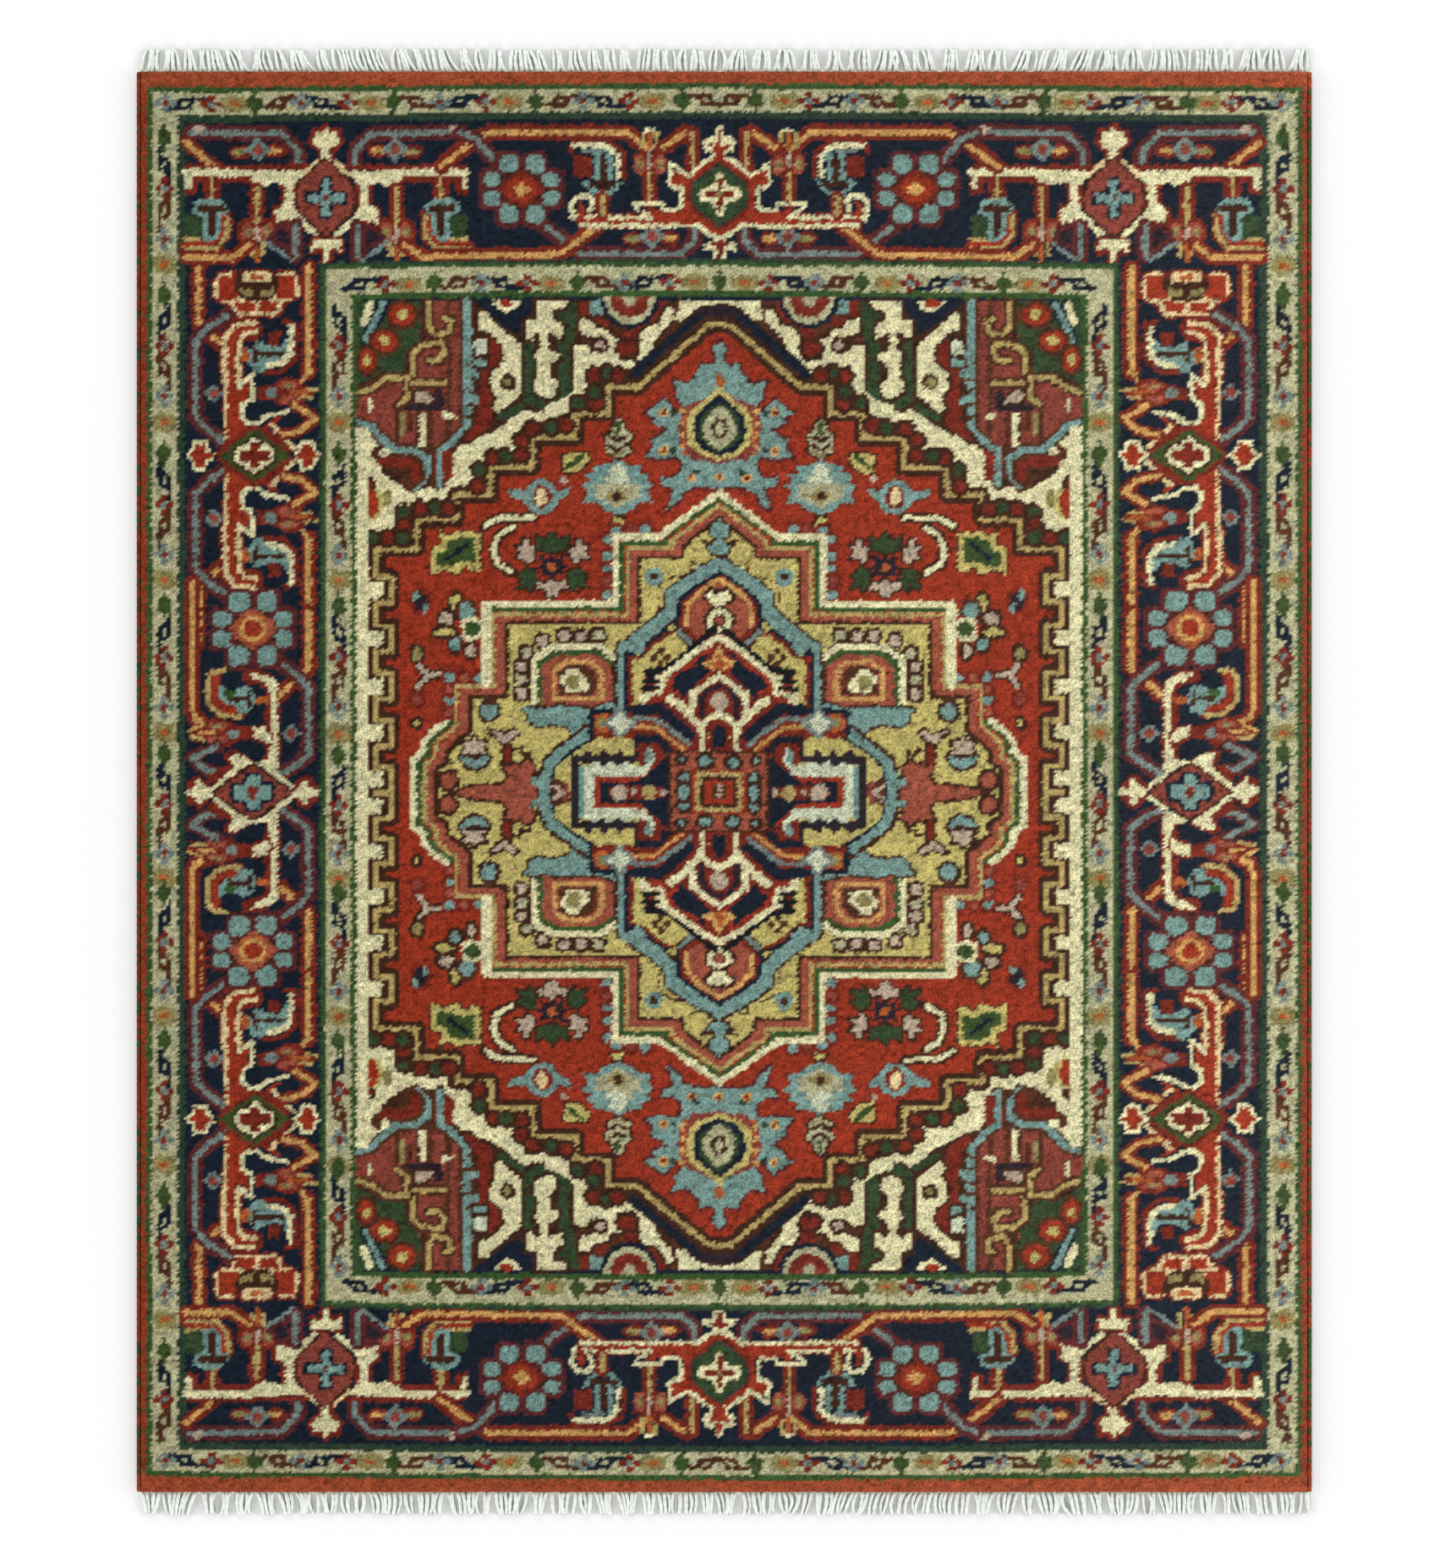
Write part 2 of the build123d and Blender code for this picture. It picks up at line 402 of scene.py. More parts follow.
def end_border(k):
    """Between the corner palmette and the middle of the end border."""
    peach(k, 58, 22.6, 65.4, 15.5, 67.5, 14.3, 93.4, 14.3, 97, 17.8)
    slate(k, 62, 14.6, 64.8, 16, 69.2, 22.4)
    slate(k, 77, 35.8, 84.8, 43.2, 103.6, 43.2, 106.3, 39.8, 106.3, 36.8)
    peach(k, 51.2, 41, 54.8, 43.8, 80.6, 43.2, 87.5, 36.8)
    rosette(k, 73.4, 27.8)
    pocket_flower(k, 98, 39)
    # turned shield
    k.line("rust", 1.0, 82.6, 19, 83.2, 16.4, 89, 15.8, 92.6, 19, 92.8, 25)
    k.line("cream", 1.0, 83.4, 17.6, 86, 17.2, 89.6, 17.8, 91.4, 19.8, 91.6, 25)
    k.line("slate", 0.9, 85, 18.6, 88.6, 18.9)
    k.box("rust", 83.3, 20, 86.7, 24.9)
    k.line("blue", 1.2, 87.6, 19.5, 87.5, 26)
    k.line("blue", 1.2, 90, 19.6, 90, 26)
    k.line("brown", 1.4, 88.8, 20.8, 88.8, 26)
    k.fill("blue", 85, 25.4, 86.6, 26, 87.4, 28, 88.5, 28.9, 90, 28, 91, 26.4, 92.4, 25.6, 92, 27.4,
           90, 29.4, 87, 29.4, 85.2, 27)
    k.line("brown", 1.3, 86.8, 26.8, 90.8, 26.8)
    # forked foot and double line
    k.fill("rust", 83.5, 33.6, 99, 33.6, 99, 37.2, 84, 37.2)
    k.line("cream", 0.8, 83.4, 34.4, 98.2, 34.4)
    k.line("cream", 0.9, 84.6, 36.4, 107, 36.3)
    k.line("red", 0.8, 85, 35.4, 107, 35.4)
    k.ribbon("line", "rust", 88.5, 29.6, 88.5, 33.6, width=0.9, total=2.6)
    k.line("cream", 1.0, 83.2, 35, 82.7, 31.4, 83.8, 29.7, 85.8, 29.3, 86.8, 30.8, 86.2, 33)
    k.line("red", 1.2, 84.5, 31.4, 84.5, 34.4)
    # tree
    k.fill("rust", 94.6, 19.6, 96.6, 18.6, 99.4, 18.6, 101, 20.6, 100.6, 23.8, 98.9, 24.8, 96.4, 24.8,
           94.8, 23.6)
    k.ribbon("line", "rust", 97.6, 24, 97.6, 31, width=0.9, total=2.8)
    for lx in (95.8, 99.7):
        k.oval("terra", lx, 22, 1.2, 2.3)
        k.oval("olive", lx, 22, 0.6, 1.2)
    k.box("pink", 97.2, 18.6, 98.1, 23)
    for lx in (96.4, 99):
        k.line("line", 0.9, lx, 14.6, lx, 17.6)
    k.line("orange", 0.9, 97.7, 14, 97.7, 18)
    k.line("cream", 0.6, 97, 13.8, 98.6, 13.8)
    peach(k, 100.3, 18, 104.8, 14.2)
    k.ribbon("line", "rust", 105.9, 14.8, 105.9, 24.6, width=0.9, total=2.9)


def end_centre(k):
    """Green diamond in the middle of each end border; drawn for one half."""
    k.fill("red", 111, 19.6, 105.4, 24.6, 101.9, 23.4, 101.8, 26.6, 104, 27.4, 104.4, 31.8, 103.3, 33.2,
           97, 32.4, 98.6, 35, 106.8, 36, 111, 41)
    k.line("cream", 0.8, 105.2, 24.7, 103.4, 23.4, 101.8, 21.8, 101.4, 26.4, 102.6, 27.6, 103.6, 27.3,
           103.7, 31.8, 102.8, 32.8, 100.2, 32.6, 100, 31.3, 94.6, 31.3, 95.4, 32.8, 97, 33.6)
    k.line("cream", 0.8, 105.2, 24.5, 108.4, 21.2, 110, 20.3)
    k.line("cream", 0.9, 106.6, 36.3, 109.7, 38.9)
    k.edged("rust", 0.7, "teal", 111, 21.5, 106, 26.4, 105.4, 29.2, 106, 32.2, 111, 37.2)
    k.fill("forest", 111, 22.2, 106.6, 26.8, 106.1, 29.2, 106.6, 31.8, 111, 36.4)
    k.edged("moss", 0.4, "cream", 111, 23.8, 110.2, 24.4, 110.2, 26, 109.4, 27.1, 107.4, 27.6, 106.8, 29,
            107.4, 30.6, 109.4, 30.9, 110.2, 32.6, 110.4, 33.8, 111, 34.4)
    k.box("rust", 110.5, 25.4, 111.5, 33.2)
    k.box("rust", 108.2, 28.2, 111.5, 29.8)
    k.box("olive", 110.6, 28.2, 111.5, 29.8)
    k.fill("cream", 111, 12.6, 110.4, 13.2, 110.2, 15.2, 108.4, 15.6, 107.9, 17.4, 108.3, 18.9, 109.6, 19.2,
           109.6, 20.6, 111, 20.6)
    k.fill("red", 111, 14, 110.6, 14, 110.5, 17.8, 109.6, 16.8, 109, 17.4, 110, 19, 110, 21, 111, 21)
    k.fill("cream", 111, 38.4, 110.2, 38.7, 109.8, 39.8, 108, 40.8, 107.8, 42.4, 109.8, 42.2, 109.8, 44.6,
           111, 44.6)
    k.fill("rust", 111, 39.4, 110.6, 40, 109, 41, 110.3, 41.6, 110.6, 44, 111, 44)


def side_top(k):
    """Half flower that grows out of the corner."""
    k.flip_x = 23
    k.edged("rust", 0.5, "ivory", 23, 47.2, 20.4, 47.4, 20, 49.4, 18.6, 47.6, 15.8, 47.6, 15, 50, 15, 53,
            16.3, 54.4, 18, 54.8, 18.3, 56.8, 19.6, 58, 22.8, 57.6, 23, 57.8)
    k.box("red", 15.7, 48.3, 19.6, 53.9)
    k.fill("red", 18.8, 54.4, 22.4, 54.4, 22.4, 57.1, 19.4, 57)
    k.fill("brown", 19.3, 47.6, 20.6, 49.8, 23, 49.8, 23, 54.4, 20.2, 54, 18.7, 51)
    k.fill("olive", 19.6, 50.4, 20.8, 51.6, 22.2, 51.4, 22.4, 53.4, 20, 53)
    k.fill("ivory", 20.8, 48, 23, 47.6, 23, 50, 21.4, 49.4)
    k.fill("orange", 21.6, 48.1, 23, 47.9, 23, 49.6, 22, 49.3)
    k.flip_x = None


def side_unit(k):
    """Hooks, spiral and green diamond of the side border, mirrored about its own middle row."""
    k.flip_y = 90.8
    peach(k, 11.9, 46.4, 11.9, 60, 14.4, 62.4, 17, 65.2)
    peach(k, 32.9, 46.4, 32.9, 71.4)
    k.line("peach", 0.9, 32.9, 71, 31.6, 73.4)
    slate(k, 17.6, 57.6, 13.6, 60.8, 11.4, 64, 11.4, 81.6, 13.8, 84.8, 17, 87.6)
    k.line("rust", 4.6, 22, 61, 19.4, 61.2, 18.3, 63.5, 18.3, 72)
    k.line("rust", 3.6, 18.2, 72, 18.6, 87)
    k.line("ivory", 1.0, 22.4, 59.5, 18.9, 60, 17.1, 62.6, 17.1, 73, 17.5, 86.6)
    k.line("red", 1.3, 22.2, 61, 19.4, 61.2, 18.2, 63.6, 18.2, 87)
    k.line("ivory", 0.9, 22.8, 61.6, 20.6, 62.2, 19.6, 64, 19.5, 73.6)
    k.fill("red", 18.2, 75, 19.8, 75, 21.6, 73, 21.6, 76.8, 20, 78.6, 19.8, 82, 21.6, 84.2, 24, 84,
           26.4, 82, 28.6, 81.6, 26.4, 84, 22.6, 86, 18.2, 87)
    k.oval("navy", 22.6, 80.4, 2.4, 2.6)
    k.line("cream", 0.9, 19.6, 74.4, 22.1, 71.8, 22.1, 77.2, 20.4, 78.8, 20.2, 81.6, 21.5, 83.2, 23.3, 83,
           25, 81.4, 28.8, 80.5)
    k.line("ivory", 0.9, 25.8, 83.7, 31, 90.2)
    k.line("rust", 1.3, 24.6, 84.6, 29.6, 90.6)
    # spiral
    k.line("rust", 1.0, 28.5, 59.4, 30.6, 60, 30.6, 68, 28, 71, 24.4, 71.2)
    k.fill("blue", 21.5, 66, 23, 63.8, 25, 65, 27.6, 65.4, 28.7, 63, 29.2, 64, 28.8, 68, 25.6, 69, 24, 71.4,
           22.4, 71, 21.4, 68.6)
    k.line("brown", 0.9, 23, 66.9, 28, 66.9)
    k.line("brown", 0.8, 22.4, 65.4, 22.8, 68.6)
    k.box("rust", 25.2, 61.8, 27.6, 65)
    k.line("cream", 1.1, 29.5, 60.6, 29.5, 67, 28, 69, 25.4, 69.7)
    k.oval("orange", 20.9, 67.2, 0.8, 1.8)
    # feathered leaf
    k.fill("rust", 23, 74.6, 26, 74.2, 28.6, 72.4, 31.2, 72.8, 32.4, 74.6, 34.6, 75.2, 34, 76.8, 32.2, 77.6,
           30.8, 79.2, 27.6, 79, 26, 77.8, 23, 77.8)
    k.oval("slate", 25.8, 76, 1.2, 1.3)
    for y in (74.4, 77.6):
        k.oval("terra", 29, y, 1.9, 1.0)
    k.oval("olive", 28.8, 74.6, 1.0, 0.5)
    k.line("orange", 0.8, 29.5, 76, 32.6, 76)
    k.line("line", 0.6, 32.4, 75, 34.6, 75.4)
    k.line("line", 0.6, 31.2, 77.2, 33.6, 77.2)
    k.ribbon("peach", "rust", 30.2, 79, 34.2, 82, 31.8, 84.8, 28, 86, total=2.4)
    k.fill("navy", 26.6, 82.8, 29, 81, 32, 82.3, 30.4, 84, 27.4, 84.4)
    # small flower in the outer pocket
    k.diamond("slate", 14.9, 76, 1.9, 2.4)
    k.oval("rose", 14.9, 76, 0.9, 1.1)
    # green diamond
    k.edged("rust", 0.8, "moss", 22.6, 84.4, 29.5, 90.8, 22.6, 97.2, 15.8, 90.8)
    k.edged("brown", 0.5, "cream", 22.6, 86.5, 24, 87.8, 26, 89, 26.5, 90.8, 26, 92.6, 24, 93.8, 22.6, 95.2,
            21.2, 93.8, 19.2, 92.6, 18.7, 90.8, 19.2, 89, 21.2, 87.8)
    k.box("rust", 21.7, 88, 23.5, 93.8)
    k.box("rust", 19.8, 89.4, 25.4, 92.2)
    k.flip_x = 22.5
    k.edged("navy", 0.4, "cream", 9.3, 90.8, 10.7, 89.3, 11, 87.2, 13.6, 87.2, 13.8, 89, 15.2, 90.8,
            13.9, 92.6, 13.6, 94.4, 11, 94.4, 10.7, 92.3)
    k.fill("red", 9.9, 90.8, 11.2, 90, 11.5, 88.2, 13.2, 88.1, 13.4, 89.8, 14.6, 90.8, 13.4, 91.9,
           13.2, 93.5, 11.5, 93.4, 11.2, 91.7)
    k.flip_x = k.flip_y = None


def side_middle(k):
    """Rosette, spiral and the half of the centre diamond."""
    peach(k, 10.8, 121, 10.8, 151, 11.6, 153.2, 14.4, 155)
    peach(k, 32.9, 128, 32.9, 141.4, 29.6, 144.8, 27.4, 147.6)
    slate(k, 26.6, 138.8, 31, 143, 33, 145.6, 33, 161.4, 30.6, 164, 27.6, 166.2)
    rosette(k, 22.3, 131.8, 1.05, 1.06, ring=True)
    # spiral
    k.line("rust", 2.8, 15, 142.8, 14.6, 148.6, 16.6, 151.2, 19.6, 151.6)
    k.line("line", 0.9, 17.1, 141.5, 14.6, 141.8, 13.8, 143.6, 13.8, 149, 15.5, 151.3, 17.2, 152.4,
           19.8, 152.3)
    k.line("red", 1.1, 15.3, 142.8, 15, 148.4, 16.6, 150.5, 18.9, 150.8)
    k.fill("blue", 15.9, 144.6, 17.2, 146.2, 19, 146.2, 20.4, 144.9, 22.3, 146, 22.9, 149, 22, 151.4,
           19.9, 152, 19.2, 149.9, 17, 149.2, 15.8, 147.6)
    k.oval("green", 17.9, 147, 1.2, 1.0)
    k.line("brown", 0.9, 18, 148.4, 21.4, 148.2)
    k.line("brown", 0.8, 21.6, 146.6, 21.8, 150)
    # cream stem
    k.line("rust", 2.8, 21.6, 143, 24.2, 143.4, 26, 145.6, 26, 163)
    k.oval("orange", 24.2, 148.6, 1.4, 0.9)
    k.fill("cream", 21.4, 142, 24.2, 142.3, 26.2, 143.3, 27.1, 145, 26.9, 164, 25.2, 164, 25.7, 156,
           25.7, 147, 25, 144.9, 22.8, 143.7)
    k.edged("rust", 0.5, "cream", 22.3, 155.1, 24.5, 155, 25.9, 157, 25.4, 159, 22.6, 157.6)
    k.fill("rust", 22, 155, 19, 154.4, 16, 152.8, 13.4, 153.6, 12.4, 155.4, 9.8, 156.2, 10.8, 158.4,
           13.4, 158.4, 15, 159.8, 18, 159.6, 19.2, 158.2, 22, 157.8)
    k.oval("slate", 18.5, 156.6, 1.1, 1.2)
    for y in (154.6, 158):
        k.oval("terra", 15.6, y, 1.9, 1.0)
    k.oval("olive", 15.6, 154.6, 1.0, 0.5)
    k.line("peach", 0.7, 10.2, 156.2, 12.4, 154.8)
    k.line("peach", 0.7, 12.4, 156.4, 15, 156.2)
    k.line("line", 0.7, 10.6, 157.4, 13.2, 158)
    k.ribbon("slate", "wine", 15.6, 159.5, 10.7, 162.4, 13.4, 165.2, 17.4, 165.8, total=2.4)
    k.fill("navy", 12.4, 162.2, 15.4, 161, 17.4, 162.8, 15, 164)
    k.diamond("slate", 29.6, 156.6, 1.9, 2.4)
    k.oval("rose", 29.6, 156.6, 0.9, 1.1)
    k.line("rust", 2.6, 18, 161.8, 21.6, 164.2, 17.6, 165.6, 15.2, 167)
    k.fill("cream", 17.7, 161.2, 19.6, 161.4, 21.8, 162.9, 26.9, 162.9, 27, 166, 30.6, 169.6, 29.8, 170.4,
           24.5, 164.6, 20.4, 164.4, 14.8, 170.4, 14, 169.6, 18.6, 164.4)
    k.fill("rust", 9.6, 171, 9.8, 168, 12, 166.2, 14.4, 169.2, 14.8, 171)
    k.fill("cream", 9.4, 171, 9.8, 169.7, 11.4, 169.2, 11.8, 167.2, 13, 168.6, 14.6, 169.6, 15, 171)
    k.fill("rust", 30, 168.8, 31.8, 166.4, 33.2, 166.6, 34.6, 168.6, 35, 171, 30, 171)
    k.fill("cream", 29.8, 170, 31.4, 169, 32.2, 167.3, 33, 167.6, 33, 169.4, 34.9, 169.9, 34.9, 171,
           29.8, 171)
    k.edged("brown", 0.5, "rose", 22.3, 163.9, 29.6, 170.5, 22.3, 177.1, 15, 170.5)
    k.edged("navy", 0.7, "blue", 21.2, 166.6, 23.4, 166.6, 23.6, 168.8, 25.8, 168.9, 25.8, 172.1,
            18.8, 172.1, 18.8, 168.9, 21, 168.8)
    k.box("rust", 21.5, 168.9, 23.1, 172)


BUD = {"r": "rust", "g": "forest"}     # dyes of the buds along the steps


def field(k):
    """Red field, its crenellated side and stepped corner, and the buds along the steps."""
    stair = [61, 100.1, 67.6, 100.1, 67.6, 93.6, 75.6, 93.6, 75.6, 86.6, 83.6, 86.6, 83.6, 80.8, 89.7, 80.8,
             89.7, 74.6, 95.4, 74.6, 108.8, 60.2, 111.5, 59.8]
    side = []
    for centre in reversed(CRENELS):
        side += [45.8, centre + 3, 48.7, centre + 3, 48.7, centre - 3, 45.8, centre - 3]
    path = [45.8, 171, *side, 45.8, 112.8, 53.6, 112.8, 53.6, 106, 61, 106, *stair]
    k.fill("red", *path, 111.5, 171)
    k.ribbon("line", "brown", *path, width=1.0, total=3.3)
    for centre in CRENELS:
        k.box("cream", 43, centre - 1.8, 47, centre + 1.8)
    # buds along the steps
    for kind, x, y in (("r", 68, 91.2), ("g", 70.4, 91), ("r", 73.4, 90.6), ("g", 65.4, 94.2),
                       ("r", 65.2, 98.2), ("r", 75.4, 84.4), ("g", 79, 84.2), ("r", 81.8, 83.6),
                       ("r", 87.3, 78.6), ("g", 84, 78.4), ("r", 87, 72), ("g", 87, 75.8),
                       ("g", 89.6, 71.2), ("r", 91.6, 72), ("r", 73.3, 87.2), ("g", 51, 104.4),
                       ("r", 54.2, 103.4), ("g", 57, 103.2), ("r", 59.6, 103.4), ("r", 51, 107.4),
                       ("g", 50.8, 110.4), ("r", 48, 110.4), ("g", 45, 110.4)):
        k.bud(BUD[kind], x, y, 1.1, 1.4)


def small_flowers(k):
    """Palmette, leaves, tendrils, bouquet and clusters of the red field."""
    # jagged grey palmette, its bud and its stem
    k.edged("rust", 0.3, "blue", 91.6, 91.8, 93.6, 93, 96.4, 93.4, 95.6, 94.8, 98, 95.4, 96.8, 96.8,
            98.6, 98, 97.2, 99.6, 98.2, 102, 95.6, 102, 94.4, 103.6, 91.6, 104.8, 88.8, 103.6, 87.6, 102,
            85, 102, 86, 99.6, 84.6, 98, 86.4, 96.8, 85.2, 95.4, 87.6, 94.8, 86.8, 93.4, 89.6, 93)
    k.fill("grey", 91.6, 95.4, 94.6, 96, 93.8, 97.4, 96.6, 98, 95.4, 99.4, 96.2, 100.6, 93.6, 102,
           91.6, 103.4, 89.6, 102, 87, 100.6, 87.8, 99.4, 86.6, 98, 89.4, 97.4, 88.6, 96)
    k.fill("pale", 91.6, 92.4, 93.4, 94.2, 92.8, 95.6, 94.4, 97, 91.6, 97.6, 88.8, 97, 90.4, 95.6,
           89.8, 94.2)
    k.fill("olive", 91.6, 98.6, 94, 100.2, 91.6, 102.6, 89.2, 100.2)
    k.oval("brown", 91.6, 100.4, 1.0, 1.1)
    k.edged("brown", 0.5, "grey", 91.6, 82, 92.8, 83.6, 92.9, 85.2, 94.2, 86, 93.6, 88.4, 94, 90,
            91.6, 91.4, 89.4, 90, 89.6, 88.4, 89, 86, 90.4, 85.2, 90.4, 83.6)
    k.line("moss", 0.9, 91.5, 83.4, 91.5, 85.4)
    k.line("brown", 0.8, 90.2, 86.4, 91.5, 87.4, 93, 86.4)
    k.line("brown", 0.8, 90, 88.4, 91.5, 89.6, 93.2, 88.4)
    k.fill("olive", 89.6, 89.6, 91.5, 90.4, 93.8, 89.6, 91.5, 91.2)
    k.edged("brown", 0.5, "gold", 90.8, 105.4, 92.4, 105.4, 92.8, 107.6, 92, 109.6, 91, 109.6, 90.2, 107.6)
    # four-armed blue flower
    k.edged("rust", 0.3, "blue", 75.2, 97.4, 77.2, 96.2, 79.6, 97.6, 80.2, 99.2, 82.8, 98.4, 82, 100.4,
            80.4, 102, 79, 104.4, 76, 104.4, 74.6, 103, 73.6, 101.4, 71, 100.6, 70.8, 98.8, 74, 99.2)
    k.oval("rust", 77.3, 100.6, 1.9, 2.8)
    k.oval("ivory", 77.2, 100.5, 1.1, 2.0)
    # olive leaf
    k.edged("brown", 0.4, "gold", 81.2, 90.4, 85.8, 90.3, 86, 92.4, 83.8, 94.8, 81.6, 95)
    k.line("moss", 1.1, 82.4, 93.4, 84.8, 91)
    k.oval("pink", 81.4, 96.4, 0.7, 0.8)
    # big leaf
    k.edged("umber", 0.3, "gold", 57.8, 108.4, 59.4, 110, 61.2, 108.8, 65.6, 109.2, 65.6, 118, 64, 118.4,
            62.8, 116.8, 61.4, 119, 58.4, 117.8, 56.2, 119.2, 56.4, 112.6, 58.4, 111.8)
    k.fill("moss", 59.4, 111.4, 61.6, 110, 64.6, 110.4, 64.6, 116.2, 61.8, 116, 60.4, 117.2, 57.4, 116.8,
           57.2, 114, 59, 113.2)
    k.line("navy", 1.0, 59.6, 115.2, 63, 111.8)
    # curved tendrils
    k.ribbon("cream", "brown", 66.4, 107.6, 68.6, 105.8, 75.6, 105.4, width=1.0, total=2.2)
    k.ribbon("cream", "brown", 71.6, 107.8, 69, 109.8, 68.1, 113, 68.6, 116.4, 71.4, 118.4, width=1.0,
             total=2.2)
    # bouquet
    for side in (-1, 1):
        x = 79.2
        k.edged("brown", 0.5, "pink", x + side * 3.4, 112.6, x + side * 4.6, 112.6, x + side * 4.4, 110.8,
                x + side * 5.6, 110.6, x + side * 5.4, 112.4, x + side * 6.8, 112.2, x + side * 5.8, 113.8,
                x + side * 6.8, 115.2, x + side * 5.2, 115.2, x + side * 4.6, 116.6, x + side * 3.4, 115.4)
        k.edged("brown", 0.5, "forest", x + side * 3.2, 118, x + side * 5, 117.8, x + side * 6.6, 119.4,
                x + side * 5.6, 120.2, x + side * 6.6, 122.4, x + side * 4.6, 121.8, x + side * 4.2, 123,
                x + side * 3, 121.2)
    k.edged("brown", 0.5, "forest", 76.4, 112.8, 76.2, 110, 77.8, 111, 79.2, 109, 80.6, 111, 82.2, 110,
            82, 112.8, 80, 113.8, 78.4, 113.8)
    k.fill("plum", 76.8, 114.2, 78.6, 115.4, 79.2, 114.4, 79.8, 115.4, 81.8, 114.2, 81.2, 116.6,
           82.4, 117.4, 81.2, 118, 81.8, 120, 80, 119, 79.2, 120, 78.4, 119, 76.8, 120, 77.4, 118,
           76, 117.4, 77.4, 116.6)
    k.oval("orange", 79.2, 117.2, 0.9, 1.1)
    k.edged("brown", 0.5, "pink", 76.6, 120.8, 78.2, 121, 79.2, 120, 80.2, 121, 81.8, 120.8, 82, 122.6,
            80.6, 122.4, 80, 124.2, 78.4, 124.2, 77.8, 122.4, 76.4, 122.6)
    # side clusters
    k.bud("plum", 54.2, 125.4, 1.4, 2.2, "rust")
    k.oval("blue", 53.3, 124, 0.6, 1.2)
    k.oval("blue", 55.1, 127, 0.6, 1.2)
    k.bud("gold", 60.9, 125.8, 0.9, 2.0)
    k.bud("blue", 63, 127.6, 1.4, 2.0, "umber")
    k.bud("pink", 59.1, 129.4, 1.4, 1.4)
    k.bud("gold", 58.8, 132.6, 1.9, 1.0)
    k.bud("blue", 60.8, 135.4, 0.9, 1.5)
    k.bud("pink", 63.8, 137, 0.7, 1.6)
    k.fill("cream", 62, 130, 63.4, 129, 66, 129.6, 66.6, 131.4, 66, 134, 63.6, 134.8, 62, 134)
    k.oval("moss", 64.1, 131.8, 1.6, 1.7)
    k.bud("olive", 53.6, 137.5, 0.9, 1.6)
    for colour, width in (("brown", 1.9), ("pink", 0.9)):
        k.line(colour, width, 54, 140.4, 55.6, 142.4, 58, 142.5)
        k.line(colour, width, 55.6, 142.6, 53.8, 145.4)
    k.bud("rose", 53.6, 148.2, 0.9, 1.4, "rust")
    k.bud("gold", 53.6, 154, 0.5, 0.9)
    for x, y in ((59.8, 143.2), (65.4, 143.4), (59.8, 148.6)):
        k.bud("blue", x, y, 0.9, 1.1, "rust")
    for x, y in ((62.6, 143.2), (59.8, 146), (59.8, 151.4)):
        k.bud("terra", x, y, 0.8, 0.9, "rust")
    for x, y in ((89.6, 110.6), (89.6, 114.8), (89.6, 117.8), (89.4, 124), (96.8, 108.2), (91.2, 108.8)):
        k.bud("blue", x, y, 0.9, 1.1, "rust")
    for x, y in ((89.4, 120.6), (94.2, 108.6)):
        k.bud("rose", x, y, 0.9, 1.1, "rust")


